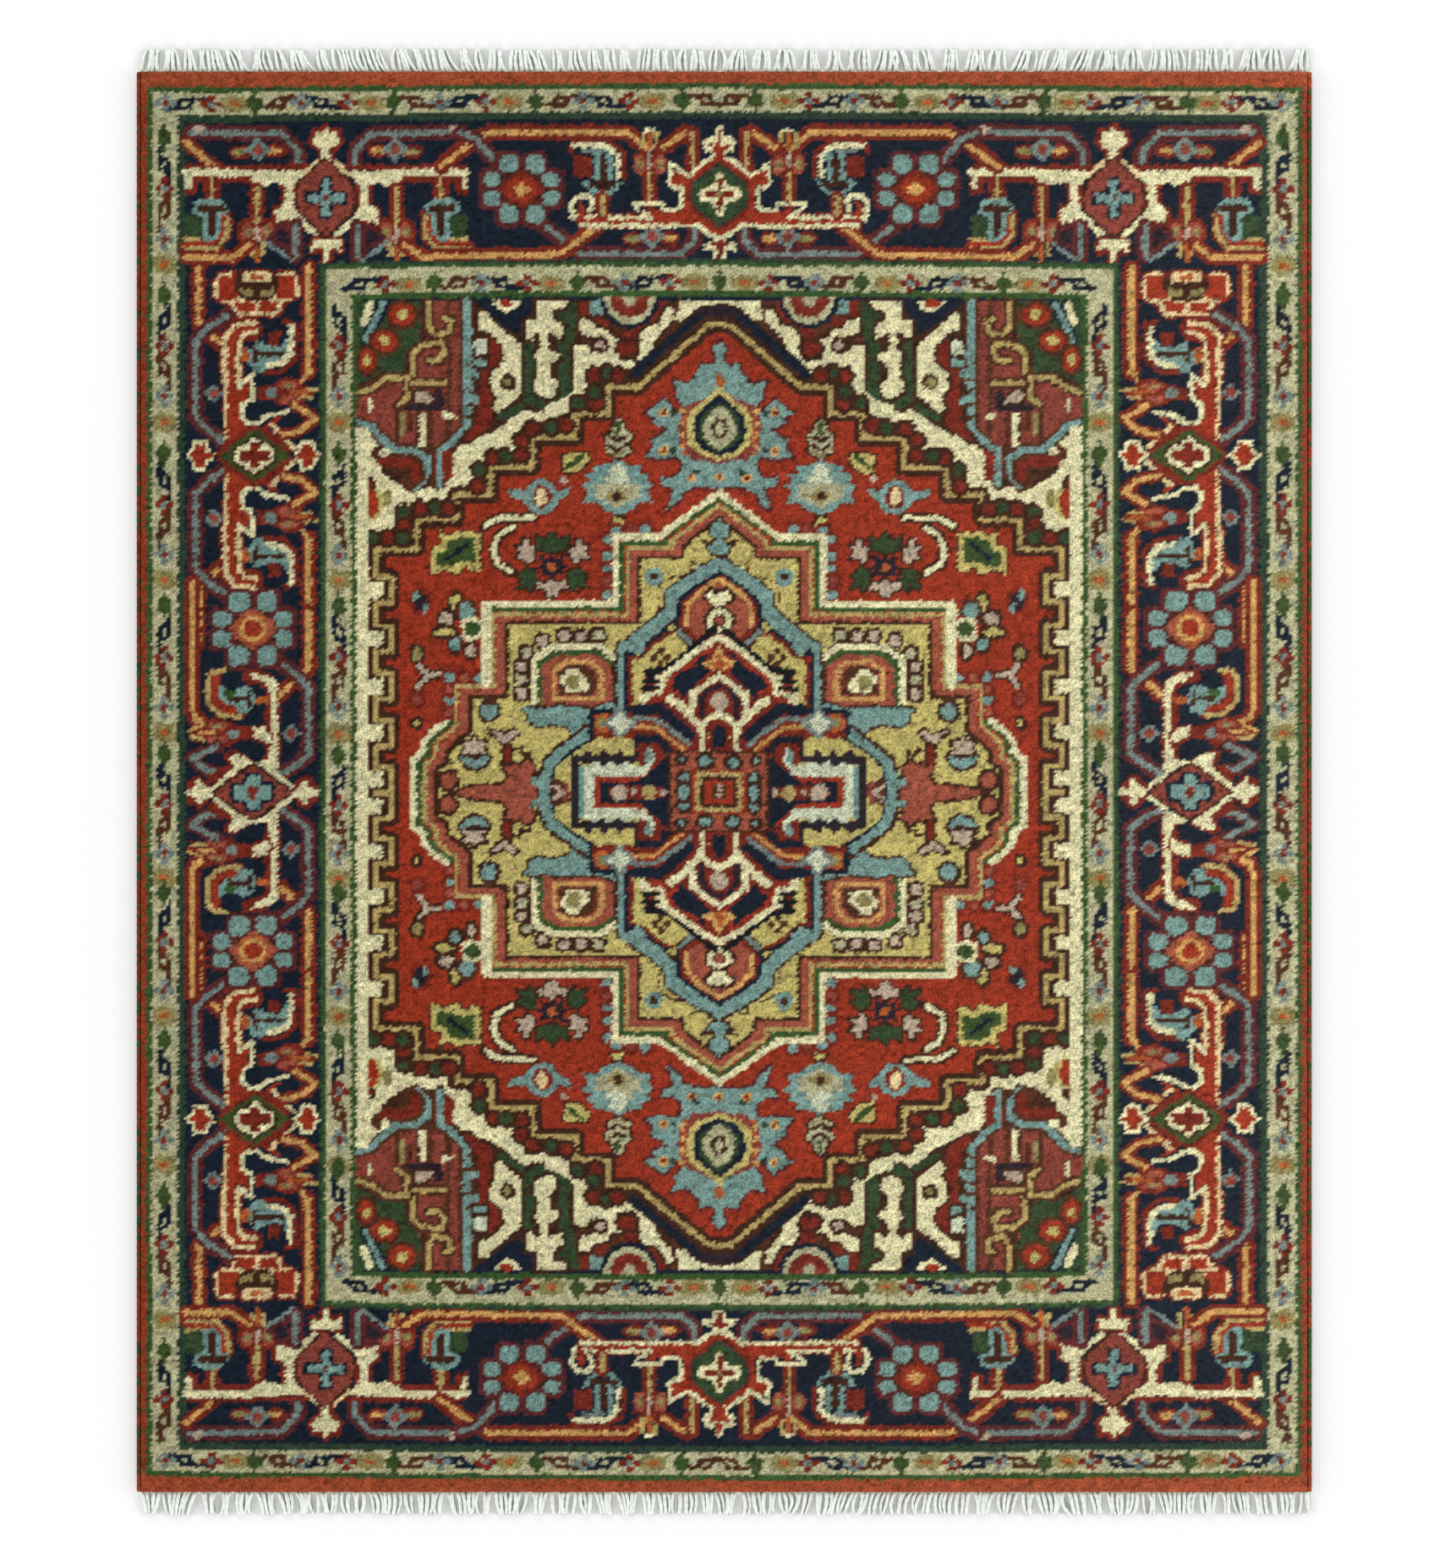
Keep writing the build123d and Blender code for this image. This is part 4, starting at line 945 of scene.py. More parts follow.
def medallion_arms(k):
    """Bands and boxes round the middle panel; drawn for one quarter."""
    k.fill("rust", 86.4, 151.4, 95, 150.6, 98, 148.6, 101, 150.4, 107.6, 157.2, 107, 161, 98, 161,
           94.4, 158, 90, 158, 86.4, 156.8)
    k.line("navy", 1.0, 86.4, 156.8, 86.4, 151.4, 95, 150.8)
    k.line("navy", 2.2, 95, 151, 99.6, 150.6, 105.4, 157)
    k.line("slate", 0.9, 94.8, 153, 98.6, 153, 101.6, 155.4, 105.4, 159.2)
    k.line("orange", 1.0, 95, 155, 98.8, 155.2, 104, 160.4)
    k.line("peach", 0.6, 95, 154.9, 98.8, 155.1, 104, 160.2)
    k.bud("olive", 88.6, 154, 0.9, 1.2, "orange")
    k.edged("slate", 0.7, "pale", 92, 151, 93, 153, 94.6, 154, 93, 155.2, 92, 157, 91, 155.2, 89.6, 154,
            91, 153)
    # gold strip and dark scallops
    k.fill("gold", 79.8, 164.6, 84, 160.4, 87.4, 157.8, 94.6, 157.4, 94.6, 162, 82.6, 162.6, 82.4, 171,
           79.6, 171)
    k.fill("gold", 84, 160.4, 87.4, 157.8, 94.6, 157.4, 94.6, 162, 82.6, 162.6, 82.4, 171, 79, 171)
    k.fill("plum", 94.8, 157, 99.6, 157, 101.4, 160.4, 101.2, 162, 95, 163.4, 90, 164.4, 84.6, 163.6,
           84.4, 171, 82.8, 171, 82.8, 161.8, 94.8, 161.8)
    for x in (86, 89, 92):
        k.oval("plum", x, 161.8, 0.9, 1.2)
        k.oval("pale", x + 1.2, 164.2, 1.0, 1.0)
    k.fill("rust", 95.4, 159, 99.6, 158.8, 100.6, 162.8, 96.4, 167, 95.6, 163)
    k.line("navy", 1.0, 95.6, 158, 99.8, 157.8, 101.8, 160.6)
    k.fill("pale", 84.5, 171, 84.5, 164.4, 95, 164, 97.2, 163.8, 97, 160.4, 98.2, 160, 98.8, 163,
           96.8, 166.6, 87, 166.8, 87, 171)
    k.line("blue", 0.9, 84.8, 171, 84.8, 164.6)
    k.line("blue", 0.8, 97.5, 160.4, 97.5, 163)
    k.fill("red", 87, 171, 87, 166.8, 96.6, 166.6, 99.4, 163.2, 101.6, 160.6, 101.6, 171)
    k.fill("navy", 88.2, 171, 88.2, 168, 95.6, 168, 101.2, 161.6, 101.2, 171)
    k.fill("rust", 90, 171, 90, 169.2, 95, 168.8, 100.8, 169.4, 100.8, 171)
    k.oval("pink", 91.8, 170.5, 1.7, 1.9)
    k.oval("line", 97.6, 170.5, 1.3, 2.0)
    k.oval("pink", 94.6, 170.5, 0.6, 0.9)
    k.oval("pink", 100.3, 170.5, 0.6, 0.9)
    # zigzag between the blue edge and the scallops
    k.fill("umber", 79, 171, 79, 167, 82.4, 168, 82.4, 171)
    k.line("pink", 0.8, 79.6, 169, 81.6, 170.6)
    k.line("rose", 0.9, 81.6, 168.4, 82.2, 170.5)
    # middle panel
    k.fill("terra", 101.6, 171, 101.6, 161.2, 111.5, 161.2, 111.5, 171)
    k.line("brown", 0.6, 101.6, 171, 101.6, 161, 111.5, 161)
    for x, y, rx, ry in ((103.9, 162.9, 0.5, 0.6), (108.3, 163.3, 1.1, 1.1), (104.3, 167.3, 0.9, 1.2),
                         (104.3, 170.5, 0.9, 1.9)):
        k.bud("blue", x, y, rx, ry)
    k.box("red", 105.8, 165.2, 111.5, 171)
    k.box("line", 106.4, 165.8, 111.5, 171)
    k.box("brown", 107.4, 166.8, 111.5, 171)
    k.box("red", 108.2, 167.8, 111.5, 171)
    k.box("umber", 109.7, 168.8, 111.5, 171)
    k.oval("pink", 111, 169.5, 0.5, 0.7)


def medallion_side(k):
    """Flowers on the gold ground at the side of the medallion."""
    k.edged("brown", 0.6, "terra", 69.9, 164, 71.4, 163.2, 73, 164.2, 74.6, 162.6, 76, 164.6, 75.4, 167,
            74.6, 168, 76.6, 168.8, 76.6, 171, 60.6, 171, 62, 169.8, 65, 169, 70, 168.6, 71, 166.4)
    k.edged("brown", 0.5, "rust", 69.9, 159.2, 71.2, 159.2, 71.2, 163.6, 69.9, 163.6)
    k.line("brown", 0.7, 71.8, 160.4, 73.2, 159.8, 73.4, 161.6, 74.8, 161, 75, 163)
    k.ribbon("blue", "brown", 86, 156.4, 82.4, 160, 79, 163.2, 78, 167, 78, 171, width=2.0, total=3.4)
    k.line("navy", 1.0, 86.4, 158.2, 83, 161, 80.2, 164.2, 79.4, 167.4, 79.3, 171)
    k.fill("blue", 75, 167, 78, 167.4, 78, 169, 75.4, 168.8)
    k.edged("brown", 0.6, "pink", 64.5, 157.4, 65.3, 158.6, 66.6, 158.4, 66, 160, 67, 161.2, 64.6, 161.2,
            62.2, 161.2, 63, 160, 62.4, 158.6, 63.8, 158.6)
    k.edged("brown", 0.6, "blue", 61.8, 162, 63.8, 162.2, 64.9, 162.8, 66, 162.2, 67.4, 162, 66.6, 163.8,
            65, 165, 62.8, 164)
    k.bud("terra", 59.6, 167.6, 1.4, 1.8)
    k.bud("blue", 67.2, 151.2, 1.5, 1.9)
    k.fill("umber", 66, 147.6, 69, 147.6, 68.2, 149.6, 66.6, 149.6)
    k.edged("brown", 0.6, "pink", 67.4, 155.8, 69, 156.2, 70.2, 157, 72, 155.6, 72.6, 156.4, 70.4, 158.8,
            69.6, 158.6)


def sprig(k, colour, x, y, rising, along):
    """S-shaped guard leaf of two bars and a link; along is True when it lies across the rug."""
    u = 1 if rising else -1
    for (ax, ay), (bx, by) in (((-3.6, 1.1), (0.4, 0.9)), ((-2.6, 1.0), (-1.2, -0.7)),
                               ((-1.4, -0.9), (3.4, -1.2)), ((0.2, 0.8), (1.0, -0.8)),
                               ((2.2, -1.2), (3.2, -0.2))):
        if along:
            k.line(colour, 0.9, x + ax, y + ay * u, x + bx, y + by * u)
        else:
            k.line(colour, 0.9, x - ay * u * 0.85, y + ax * 1.25, x - by * u * 0.85, y + bx * 1.25)


def bloom(k, x, y, sx, sy, petals, heart):
    """Small guard flower of five spots."""
    for px, py in ((-1.3, 0), (1.3, 0), (0, -1.4), (0, 1.4)):
        k.oval(petals, x + px * sx, y + py * sy, 0.85 * sx, 0.8 * sy)
    k.oval(heart, x, y, 0.65 * sx, 0.8 * sy)


def guard_unit(k, x, y, step, rising, along, limits):
    """One repeat of a guard: leaf, sprig, bloom, sprig, bloom and olive patch, kept within its limits."""
    sx, sy = (1.0, 1.0) if along else (0.85, 1.25)
    sprigs = ("umber", "navy") if along else ("navy", "umber")
    blooms = (("slate", "rust"), ("rust", "slate")) if along else (("rust", "slate"), ("slate", "rust"))

    def spot(share):
        return (x + share * step, y) if along else (x, y + share * step)

    def room(share):
        return limits[0] <= (x if along else y) + share * step <= limits[1]
    if room(0.82):
        cx, cy = spot(0.82)
        k.fill("olive", cx - 2.7 * sx, cy - 0.8 * sy, cx - 1.2 * sx, cy - 2.0 * sy,
               cx + 2.4 * sx, cy - 1.4 * sy, cx + 2.8 * sx, cy + 1.0 * sy, cx + 0.8 * sx, cy + 2.1 * sy,
               cx - 2.2 * sx, cy + 1.5 * sy)
        k.oval("orange", cx, cy, 1.1 * sx, 0.7 * sy)
    if room(0):
        cx, cy = spot(0)
        k.oval("moss", cx, cy, 1.6 * sx, 1.7 * sy)
        k.line("moss", 0.8, cx, cy - 2.3 * sy, cx, cy + 2.3 * sy)
    for number, share in enumerate((0.19, 0.49)):
        if room(share):
            sprig(k, sprigs[number], *spot(share), rising if number == 0 else not rising, along)
    for number, share in enumerate((0.33, 0.655)):
        if room(share):
            bloom(k, *spot(share), sx, sy, *blooms[number])


def end_guards(k):
    """Guards across the ends, mirrored about the middle of the rug."""
    for number, x in enumerate((-3.2, 22.6, 49.0, 76.2, 104)):
        guard_unit(k, x, 7.6 - 0.008 * x, 27, number % 2 == 1, True, (5.5, 115))
    for number, x in enumerate((29.8, 56.8, 83.9, 111)):
        guard_unit(k, x, 50.2 - 0.008 * (x - 40), 27, number % 2 == 1, True, (39, 115))


def side_guards(k):
    """Guards down the sides; they run one way for the whole length."""
    k.box("beige", 3.3, 12.2, 7.7, ROWS - 12.2)
    k.box("beige", 36.6, 53, 40.8, ROWS - 53)
    for number, row in enumerate((15.8, 53.0, 90.5, 126.5, 161.5, 195.2, 231.3, 268.9, 306.5)):
        guard_unit(k, 5.4, row, 36.6, number % 2 == 0, False, (13.5, ROWS - 13.5))
    for number, row in enumerate((53.0, 90.5, 126.5, 161.5, 195.2, 231.3, 262.0)):
        guard_unit(k, 38.7, row, 36.6, number % 2 == 0, False, (54, ROWS - 54))


def whole_cartoon():
    """The drawing of the whole rug, mirrored down and then across, as dye numbers."""
    k = Cartoon(HALF_COLUMNS, HALF_ROWS)
    for part in (frames, corner_unit, end_border, end_centre, side_top, side_unit, side_middle, cream_bands,
                 corner_garden, field, small_flowers, pendant, medallion, medallion_square, medallion_star,
                 medallion_side, medallion_arms, inner_frames, end_guards):
        part(k)
    left = Cartoon(HALF_COLUMNS, ROWS)
    left.cells[:] = np.concatenate([k.cells, k.cells[::-1]])
    side_guards(left)
    return np.concatenate([left.cells, left.cells[:, ::-1]], axis=1)


# ---------------------------------------------------------------- from cartoon to wool

def across(column):
    """Place of a column across the rug."""
    wide = np.maximum(0, column - WIDE_FROM)
    return -RUG_WIDTH / 2 + (column - wide + wide * WIDE_RATIO) * KNOT_X


def along(row):
    """Place of a row along the rug."""
    below = np.maximum(0, row - HALF_ROWS)
    return PILE_LENGTH / 2 - (row - below) * UPPER_PITCH - below * LOWER_PITCH


def waves(u, v, seed, count=7, low=0.8, high=4.0):
    """Slow, smooth unevenness over the rug, from about -1 to 1; u and v run from 0 to 1."""
    rng = np.random.default_rng(seed)
    total = np.zeros(np.broadcast(u, v).shape)
    for _ in range(count):
        fu, fv = rng.uniform(low, high, 2)
        total += np.sin(2 * math.pi * (fu * u + rng.uniform()) + rng.uniform(-2, 2) * v)
        total += np.sin(2 * math.pi * (fv * v + rng.uniform()) + rng.uniform(-2, 2) * u)
    return total / count


class Weave:
    """The whole rug as a grid of points: their colour, with painted light and sheen across it, their height
    in the pile and their place.
    """
    KNOT_SHADE, TUFT_SHADE = 0.9, 0.7     # share of a knot's and of each tuft's own shade
    BAND, CLOUD = 0.05, 0.06              # share of dye lots along the rows, and of slow patches
    DARKEST, LIGHTEST = 0.55, 1.6         # limits of the shade of one knot
    LAY = 0.26                            # painted light: brighter from left to right, as the light falls on the leaning pile
    PAINTED_SHEEN = (0.011, 0.010, 0.008)         # painted sheen: pale light added on the tips towards the right
    PAINTED_SHEEN_FROM = 0.2                      # where the painted sheen starts, as a share of the width
    TUFT_HEIGHT = 0.6                     # unevenness within a knot, as a share of that between knots
    SWELL, CLIP = 0.0004, 0.0014          # slow rise and fall of the pile, and the limit of all unevenness
    DRIFT = 0.0012                        # how far the weaving wanders on the floor

    def __init__(self):
        yarn = bpy.context.scene.rug_yarn
        rng = np.random.default_rng(yarn.seed)
        col, row = np.meshgrid(np.arange(COLUMNS * PARTS + 1) / PARTS, np.arange(ROWS * PARTS + 1) / PARTS)
        u, v = col / COLUMNS, row / ROWS
        dyed = self.dyed(yarn, rng, col, row)
        knots = rng.normal(0, 1, (ROWS + 2, COLUMNS + 2))
        knot = knots[np.minimum(row.astype(int), ROWS), np.minimum(col.astype(int), COLUMNS)]
        cloud = waves(u, v, 33, low=1, high=5)
        band = waves(np.zeros_like(u), v, 31, low=4, high=18)
        shade = 1 + yarn.shade * (self.KNOT_SHADE * knot + self.TUFT_SHADE * rng.normal(0, 1, col.shape))
        shade = shade + self.BAND * band + self.CLOUD * cloud
        # the knots' own tone, times painted light that rises from left to right
        shade = np.clip(shade, self.DARKEST, self.LIGHTEST) * (1 + self.LAY * (u - 0.5))
        # painted sheen, paler towards the right
        painted_sheen = np.clip(u - self.PAINTED_SHEEN_FROM, 0, 1)[..., None] * np.array(self.PAINTED_SHEEN)
        self.colour = np.clip(dyed * shade[..., None] + painted_sheen, 0, 1)
        height = yarn.unevenness * (knot + self.TUFT_HEIGHT * rng.normal(0, 1, col.shape))
        self.height = np.clip(height + self.SWELL * cloud, -self.CLIP, self.CLIP)
        self.x = across(col) + self.DRIFT * waves(u, v, 41, low=0.6, high=3) * np.sin(math.pi * u)
        self.y = along(row) + self.DRIFT * waves(u, v, 42, low=0.6, high=3) * np.sin(math.pi * v)

    @staticmethod
    def dyed(yarn, rng, col, row):
        """The dye of every point, read from the cartoon with a ragged, wandering hand."""
        u, v = col / COLUMNS, row / ROWS
        chart = whole_cartoon()
        x = col + yarn.wander * waves(u, v, 21, low=3, high=12)
        x = x + rng.uniform(-yarn.fuzz, yarn.fuzz, col.shape)
        y = row + yarn.wander * waves(u, v, 22, low=3, high=12)
        y = y + 1.2 * rng.uniform(-yarn.fuzz, yarn.fuzz, col.shape)
        ix = np.clip((x * FINE).astype(int), 0, chart.shape[1] - 1)
        iy = np.clip((y * FINE).astype(int), 0, chart.shape[0] - 1)
        dyes = bpy.context.scene.rug_dyes
        return np.array([tuple(getattr(dyes, name)) for name in DYES])[chart[iy, ix]]


def inside(outline, x, y):
    """Which points lie inside an outline."""
    found = np.zeros(np.broadcast(x, y).shape, bool)
    points = np.array(outline, float).reshape(-1, 2)
    for (x1, y1), (x2, y2) in zip(points, np.roll(points, -1, axis=0)):
        if y1 != y2:
            found ^= ((y1 > y) != (y2 > y)) & (x < (x2 - x1) * (y - y1) / (y2 - y1) + x1)
    return found


CORNER, FIELD, LOZENGE = 1, 2, 3


def quarter_zones():
    """Which design zone every cell of the grid belongs to; 0 is a border."""
    col = (np.arange(COLUMNS * PARTS) + 0.5) / PARTS
    row = (np.arange(ROWS * PARTS) + 0.5) / PARTS
    col, row = np.meshgrid(np.minimum(col, COLUMNS - col), np.minimum(row, ROWS - row))
    zones = np.full(col.shape, CORNER)
    side, middle, heart = SIDE_STEPS[-1], HALF_COLUMNS + 1, HALF_ROWS + 1
    open_field = [(side, STAIR[0][1]), *STAIR, (middle, STAIR[-1][1]), (middle, heart), (side, heart)]
    lozenge = [(MEDALLION[0][0], heart), *MEDALLION, (middle, MEDALLION[-1][1]), (middle, heart)]
    zones[inside(open_field, col, row)] = FIELD
    zones[inside(lozenge, col, row)] = LOZENGE
    zones[(col < side) | (row < END_STEPS[-1])] = 0
    return zones


def rectangle_mask(c0, r0, c1, r1):
    """Cells of the grid between two corners, in knots."""
    mask = np.zeros((ROWS * PARTS, COLUMNS * PARTS), bool)
    mask[int(r0 * PARTS):int(r1 * PARTS), int(c0 * PARTS):int(c1 * PARTS)] = True
    return mask


STORE = {}


def weave():
    """The woven grid, worked out once."""
    if "weave" not in STORE:
        STORE["weave"] = Weave()
    return STORE["weave"]


# ---------------------------------------------------------------- finishes

def add_node(nodes, kind, values=None, **settings):
    """A new shader node with its settings and the values of its sockets."""
    node = nodes.new(kind)
    for name, setting in settings.items():
        setattr(node, name, setting)
    for name, value in (values or {}).items():
        node.inputs[name].default_value = value
    return node


def fibre_group():
    """Fibres and tufts: breaks up a colour and gives a height, from the place on the rug; the colour is
    darker at the edges of the tufts, painted shade in the gaps between them.
    """
    name = "Wool and cotton fibre"
    if name in bpy.data.node_groups:
        return bpy.data.node_groups[name]
    group = bpy.data.node_groups.new(name, "ShaderNodeTree")
    for label, kind in (("Colour", "NodeSocketColor"), ("Place", "NodeSocketVector"),
                        ("Fibre scale", "NodeSocketFloat"), ("Tuft scale", "NodeSocketFloat"),
                        ("Contrast", "NodeSocketFloat")):
        group.interface.new_socket(label, in_out="INPUT", socket_type=kind)
    group.interface.new_socket("Colour", in_out="OUTPUT", socket_type="NodeSocketColor")
    group.interface.new_socket("Height", in_out="OUTPUT", socket_type="NodeSocketFloat")
    nodes, link = group.nodes, group.links.new
    given, result = nodes.new("NodeGroupInput").outputs, nodes.new("NodeGroupOutput").inputs
    fibre = add_node(nodes, "ShaderNodeTexNoise", {"Detail": 3, "Roughness": 0.65})
    tuft = add_node(nodes, "ShaderNodeTexVoronoi", {"Randomness": 0.85}, feature="F1")
    height = add_node(nodes, "ShaderNodeMath", operation="SUBTRACT")
    spread = add_node(nodes, "ShaderNodeMapRange",
                      {"From Min": -0.45, "From Max": 0.55, "To Min": -1.0, "To Max": 1.0})
    tone_and_gap_shade = add_node(nodes, "ShaderNodeMath", {2: 1.0}, operation="MULTIPLY_ADD")
    scaled = add_node(nodes, "ShaderNodeVectorMath", operation="SCALE")
    for texture, scale in ((fibre, "Fibre scale"), (tuft, "Tuft scale")):
        link(given["Place"], texture.inputs["Vector"])
        link(given[scale], texture.inputs["Scale"])
    # painted shade: the colour and the height fall towards the edges of each tuft's cell, on top of the
    # fibres' own random tone
    link(fibre.outputs["Fac"], height.inputs[0])
    link(tuft.outputs["Distance"], height.inputs[1])
    link(height.outputs[0], spread.inputs["Value"])
    link(spread.outputs["Result"], tone_and_gap_shade.inputs[0])
    link(given["Contrast"], tone_and_gap_shade.inputs[1])
    link(given["Colour"], scaled.inputs[0])
    link(tone_and_gap_shade.outputs[0], scaled.inputs["Scale"])
    link(scaled.outputs["Vector"], result["Colour"])
    link(spread.outputs["Result"], result["Height"])
    return group


def fibre_material(name, colour, contrast, fibre=900.0, tuft=500.0, depth=0.0006, stretch=(1, 1, 1)):
    """Matte yarn; colour is a dye or the name of the attribute that holds it."""
    if name in bpy.data.materials:
        return bpy.data.materials[name]
    material = bpy.data.materials.new(name)
    material.use_nodes = True
    nodes, link = material.node_tree.nodes, material.node_tree.links.new
    shader = nodes["Principled BSDF"].inputs
    for label, value in (("Roughness", 0.95), ("Specular IOR Level", 0.08), ("Sheen Weight", 0.02),
                         ("Sheen Roughness", 0.6)):
        shader[label].default_value = value
    place = nodes.new("ShaderNodeTexCoord")
    mapping = add_node(nodes, "ShaderNodeMapping", {"Scale": stretch})
    yarn = add_node(nodes, "ShaderNodeGroup", node_tree=fibre_group())
    for label, value in (("Fibre scale", fibre), ("Tuft scale", tuft), ("Contrast", contrast)):
        yarn.inputs[label].default_value = value
    bump = add_node(nodes, "ShaderNodeBump", {"Distance": depth, "Strength": 0.8})
    link(place.outputs["Object"], mapping.inputs["Vector"])
    link(mapping.outputs["Vector"], yarn.inputs["Place"])
    if isinstance(colour, str):
        source = add_node(nodes, "ShaderNodeAttribute", attribute_name=colour)
        link(source.outputs["Color"], yarn.inputs["Colour"])
    else:
        yarn.inputs["Colour"].default_value = (*colour, 1)
    link(yarn.outputs["Colour"], shader["Base Color"])
    link(yarn.outputs["Height"], bump.inputs["Height"])
    link(bump.outputs["Normal"], shader["Normal"])
    return material


def wool():
    """Cut ends of the wool knots."""
    return fibre_material("Cut wool pile", "Dye", 0.52, fibre=650.0, tuft=460.0)


def knot_backs():
    """Backs of the knots, as wide ribs."""
    return fibre_material("Backs of the knots", "Dye", 0.35, fibre=700.0, tuft=420.0, depth=0.0004,
                          stretch=(1, 1.3, 1))


def overcast_wool():
    """Wool wound round the side cords."""
    return fibre_material("Overcast wool", "Dye", 0.4, fibre=500.0, tuft=300.0, depth=0.0005,
                          stretch=(1, 3, 1))


def cotton(name, colour, contrast):
    """Undyed cotton with threads along the rug."""
    return fibre_material(name, srgb(*colour), contrast, depth=0.0003, stretch=(1.6, 0.5, 1))


def band_cotton():
    """Cotton of the bands at the ends."""
    return cotton("Cotton band", (224, 221, 196), 0.35)


def fringe_cotton():
    """Fringe cotton with painted shade: darker low down, where it lies against the floor between the ends."""
    known = "Cotton fringe" in bpy.data.materials
    material = cotton("Cotton fringe", (236, 243, 234), 0.20)
    if known:
        return material
    nodes, link = material.node_tree.nodes, material.node_tree.links.new
    kinds = {node.bl_idname: node for node in nodes}
    split = nodes.new("ShaderNodeSeparateXYZ")
    # painted shade: the cotton darkens below 3.6 mm, down to 0.16 of its colour at 1.6 mm and under
    painted_floor_shade = add_node(nodes, "ShaderNodeMapRange",
                    {"From Min": 0.0016, "From Max": 0.0036, "To Min": 0.16, "To Max": 1.0})
    scaled = add_node(nodes, "ShaderNodeVectorMath", operation="SCALE")
    link(kinds["ShaderNodeTexCoord"].outputs["Object"], split.inputs["Vector"])
    link(split.outputs["Z"], painted_floor_shade.inputs["Value"])
    link(kinds["ShaderNodeGroup"].outputs["Colour"], scaled.inputs[0])
    link(painted_floor_shade.outputs["Result"], scaled.inputs["Scale"])
    link(scaled.outputs["Vector"], nodes["Principled BSDF"].inputs["Base Color"])
    return material


# ---------------------------------------------------------------- pieces

def smooth_faces(bm, sides=None):
    """Smooth shading for every face, or only for those with so many sides."""
    for face in bm.faces:
        face.smooth = sides is None or len(face.verts) == sides


def close_below(bm, level):
    """Walls from the rim of an open sheet down to a level, and a flat face that closes it."""
    rim = [e for e in bm.edges if e.is_boundary]
    for edge in rim:
        edge.smooth = False
    wall = bmesh.ops.extrude_edge_only(bm, edges=rim)
    for part in wall["geom"]:
        if isinstance(part, bmesh.types.BMVert):
            part.co.z = level
    foot = [g for g in wall["geom"] if isinstance(g, bmesh.types.BMEdge) and g.is_boundary]
    bmesh.ops.holes_fill(bm, edges=foot, sides=0)
    bmesh.ops.recalc_face_normals(bm, faces=bm.faces)


def rod(segments, tip, cuts):
    """A closed rod, 1 in radius and 1 long, cut across so that it can bend."""
    bm = bmesh.new()
    bmesh.ops.create_cone(bm, cap_ends=True, segments=segments, radius1=1, radius2=tip, depth=1)
    long_edges = [e for e in bm.edges if abs(e.verts[0].co.z - e.verts[1].co.z) > 0.5]
    bmesh.ops.subdivide_edges(bm, edges=long_edges, cuts=cuts)
    smooth_faces(bm, sides=4)
    return bm


def rug_object(name, bm, material, stands_for):
    """Finishes a bmesh as a piece of the rug, in place of one node of the frame."""
    mesh = bpy.data.meshes.new(name)
    bm.to_mesh(mesh)
    bm.free()
    mesh.materials.append(material)
    obj = bpy.data.objects.new(name, mesh)
    bpy.context.scene.collection.objects.link(obj)
    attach(obj, ROOT)
    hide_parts(stands_for)


def pile_panel(name, mask):
    """One panel of cut pile: a grid of tufts on top, walls round it and a flat underside on the ground."""
    yarn, grid = bpy.context.scene.rug_yarn, weave()
    rows, cols = np.nonzero(mask.any(1))[0], np.nonzero(mask.any(0))[0]
    i0, i1, j0, j1 = cols[0], cols[-1] + 1, rows[0], rows[-1] + 1
    nx, ny = i1 - i0, j1 - j0
    bm = bmesh.new()
    bmesh.ops.create_grid(bm, x_segments=nx, y_segments=ny, size=0.5)
    places = np.array([v.co[:2] for v in bm.verts])
    ix = np.rint((places[:, 0] + 0.5) * nx).astype(int) + i0
    iy = np.rint((0.5 - places[:, 1]) * ny).astype(int) + j0
    centres = np.array([f.calc_center_median()[:2] for f in bm.faces])
    fx = ((centres[:, 0] + 0.5) * nx).astype(int) + i0
    fy = ((0.5 - centres[:, 1]) * ny).astype(int) + j0
    gone = [face for face, keep in zip(bm.faces, mask[fy, fx]) if not keep]
    # the tufts of the outermost knot lean out and down
    edge_x = np.minimum(ix, COLUMNS * PARTS - ix) / PARTS - SIDE_STEPS[0]
    edge_y = np.minimum(iy, ROWS * PARTS - iy) / PARTS
    drop = EDGE_DROP * np.clip(1 - np.minimum(edge_x, edge_y), 0, 1) ** 2
    colours = grid.colour[iy, ix]
    spots = np.stack([grid.x[iy, ix], grid.y[iy, ix], yarn.pile_top + grid.height[iy, ix] - drop], 1)
    # the colours hold the dye with the painted light and sheen of the weave
    layer = bm.verts.layers.float_color.new("Dye")
    for vert, spot, colour in zip(bm.verts, spots.tolist(), colours.tolist()):
        vert.co = spot
        vert[layer] = (*colour, 1)
    smooth_faces(bm)
    if gone:
        bmesh.ops.delete(bm, geom=gone, context="FACES")
    close_below(bm, yarn.ground_top)
    rug_object(f"wool_{name}", bm, wool(), f"pile_{name}")


class RUG_OT_ground(bpy.types.Operator):
    """Cotton ground with the backs of the knots on its underside"""
    bl_idname = "rug.ground"
    bl_label = "Ground"

    def execute(self, context):
        grid = weave()
        i0, wide = SIDE_STEPS[0], COLUMNS - 2 * SIDE_STEPS[0]
        bm = bmesh.new()
        bmesh.ops.create_grid(bm, x_segments=wide, y_segments=ROWS, size=0.5)
        # the backs take the weave's colours, painted light and sheen included
        layer = bm.verts.layers.float_color.new("Dye")
        for vert in bm.verts:
            i = (int(round((vert.co.x + 0.5) * wide)) + i0) * PARTS
            j = int(round((0.5 - vert.co.y) * ROWS)) * PARTS
            vert[layer] = (*(grid.colour[j, i] * BACK_TINT).tolist(), 1)
            vert.co = (grid.x[j, i], grid.y[j, i], BACK_RELIEF * ((i // PARTS + j // PARTS) % 2))
        smooth_faces(bm)
        close_below(bm, context.scene.rug_yarn.ground_top)
        rug_object("ground_weave", bm, knot_backs(), "foundation")
        return {"FINISHED"}


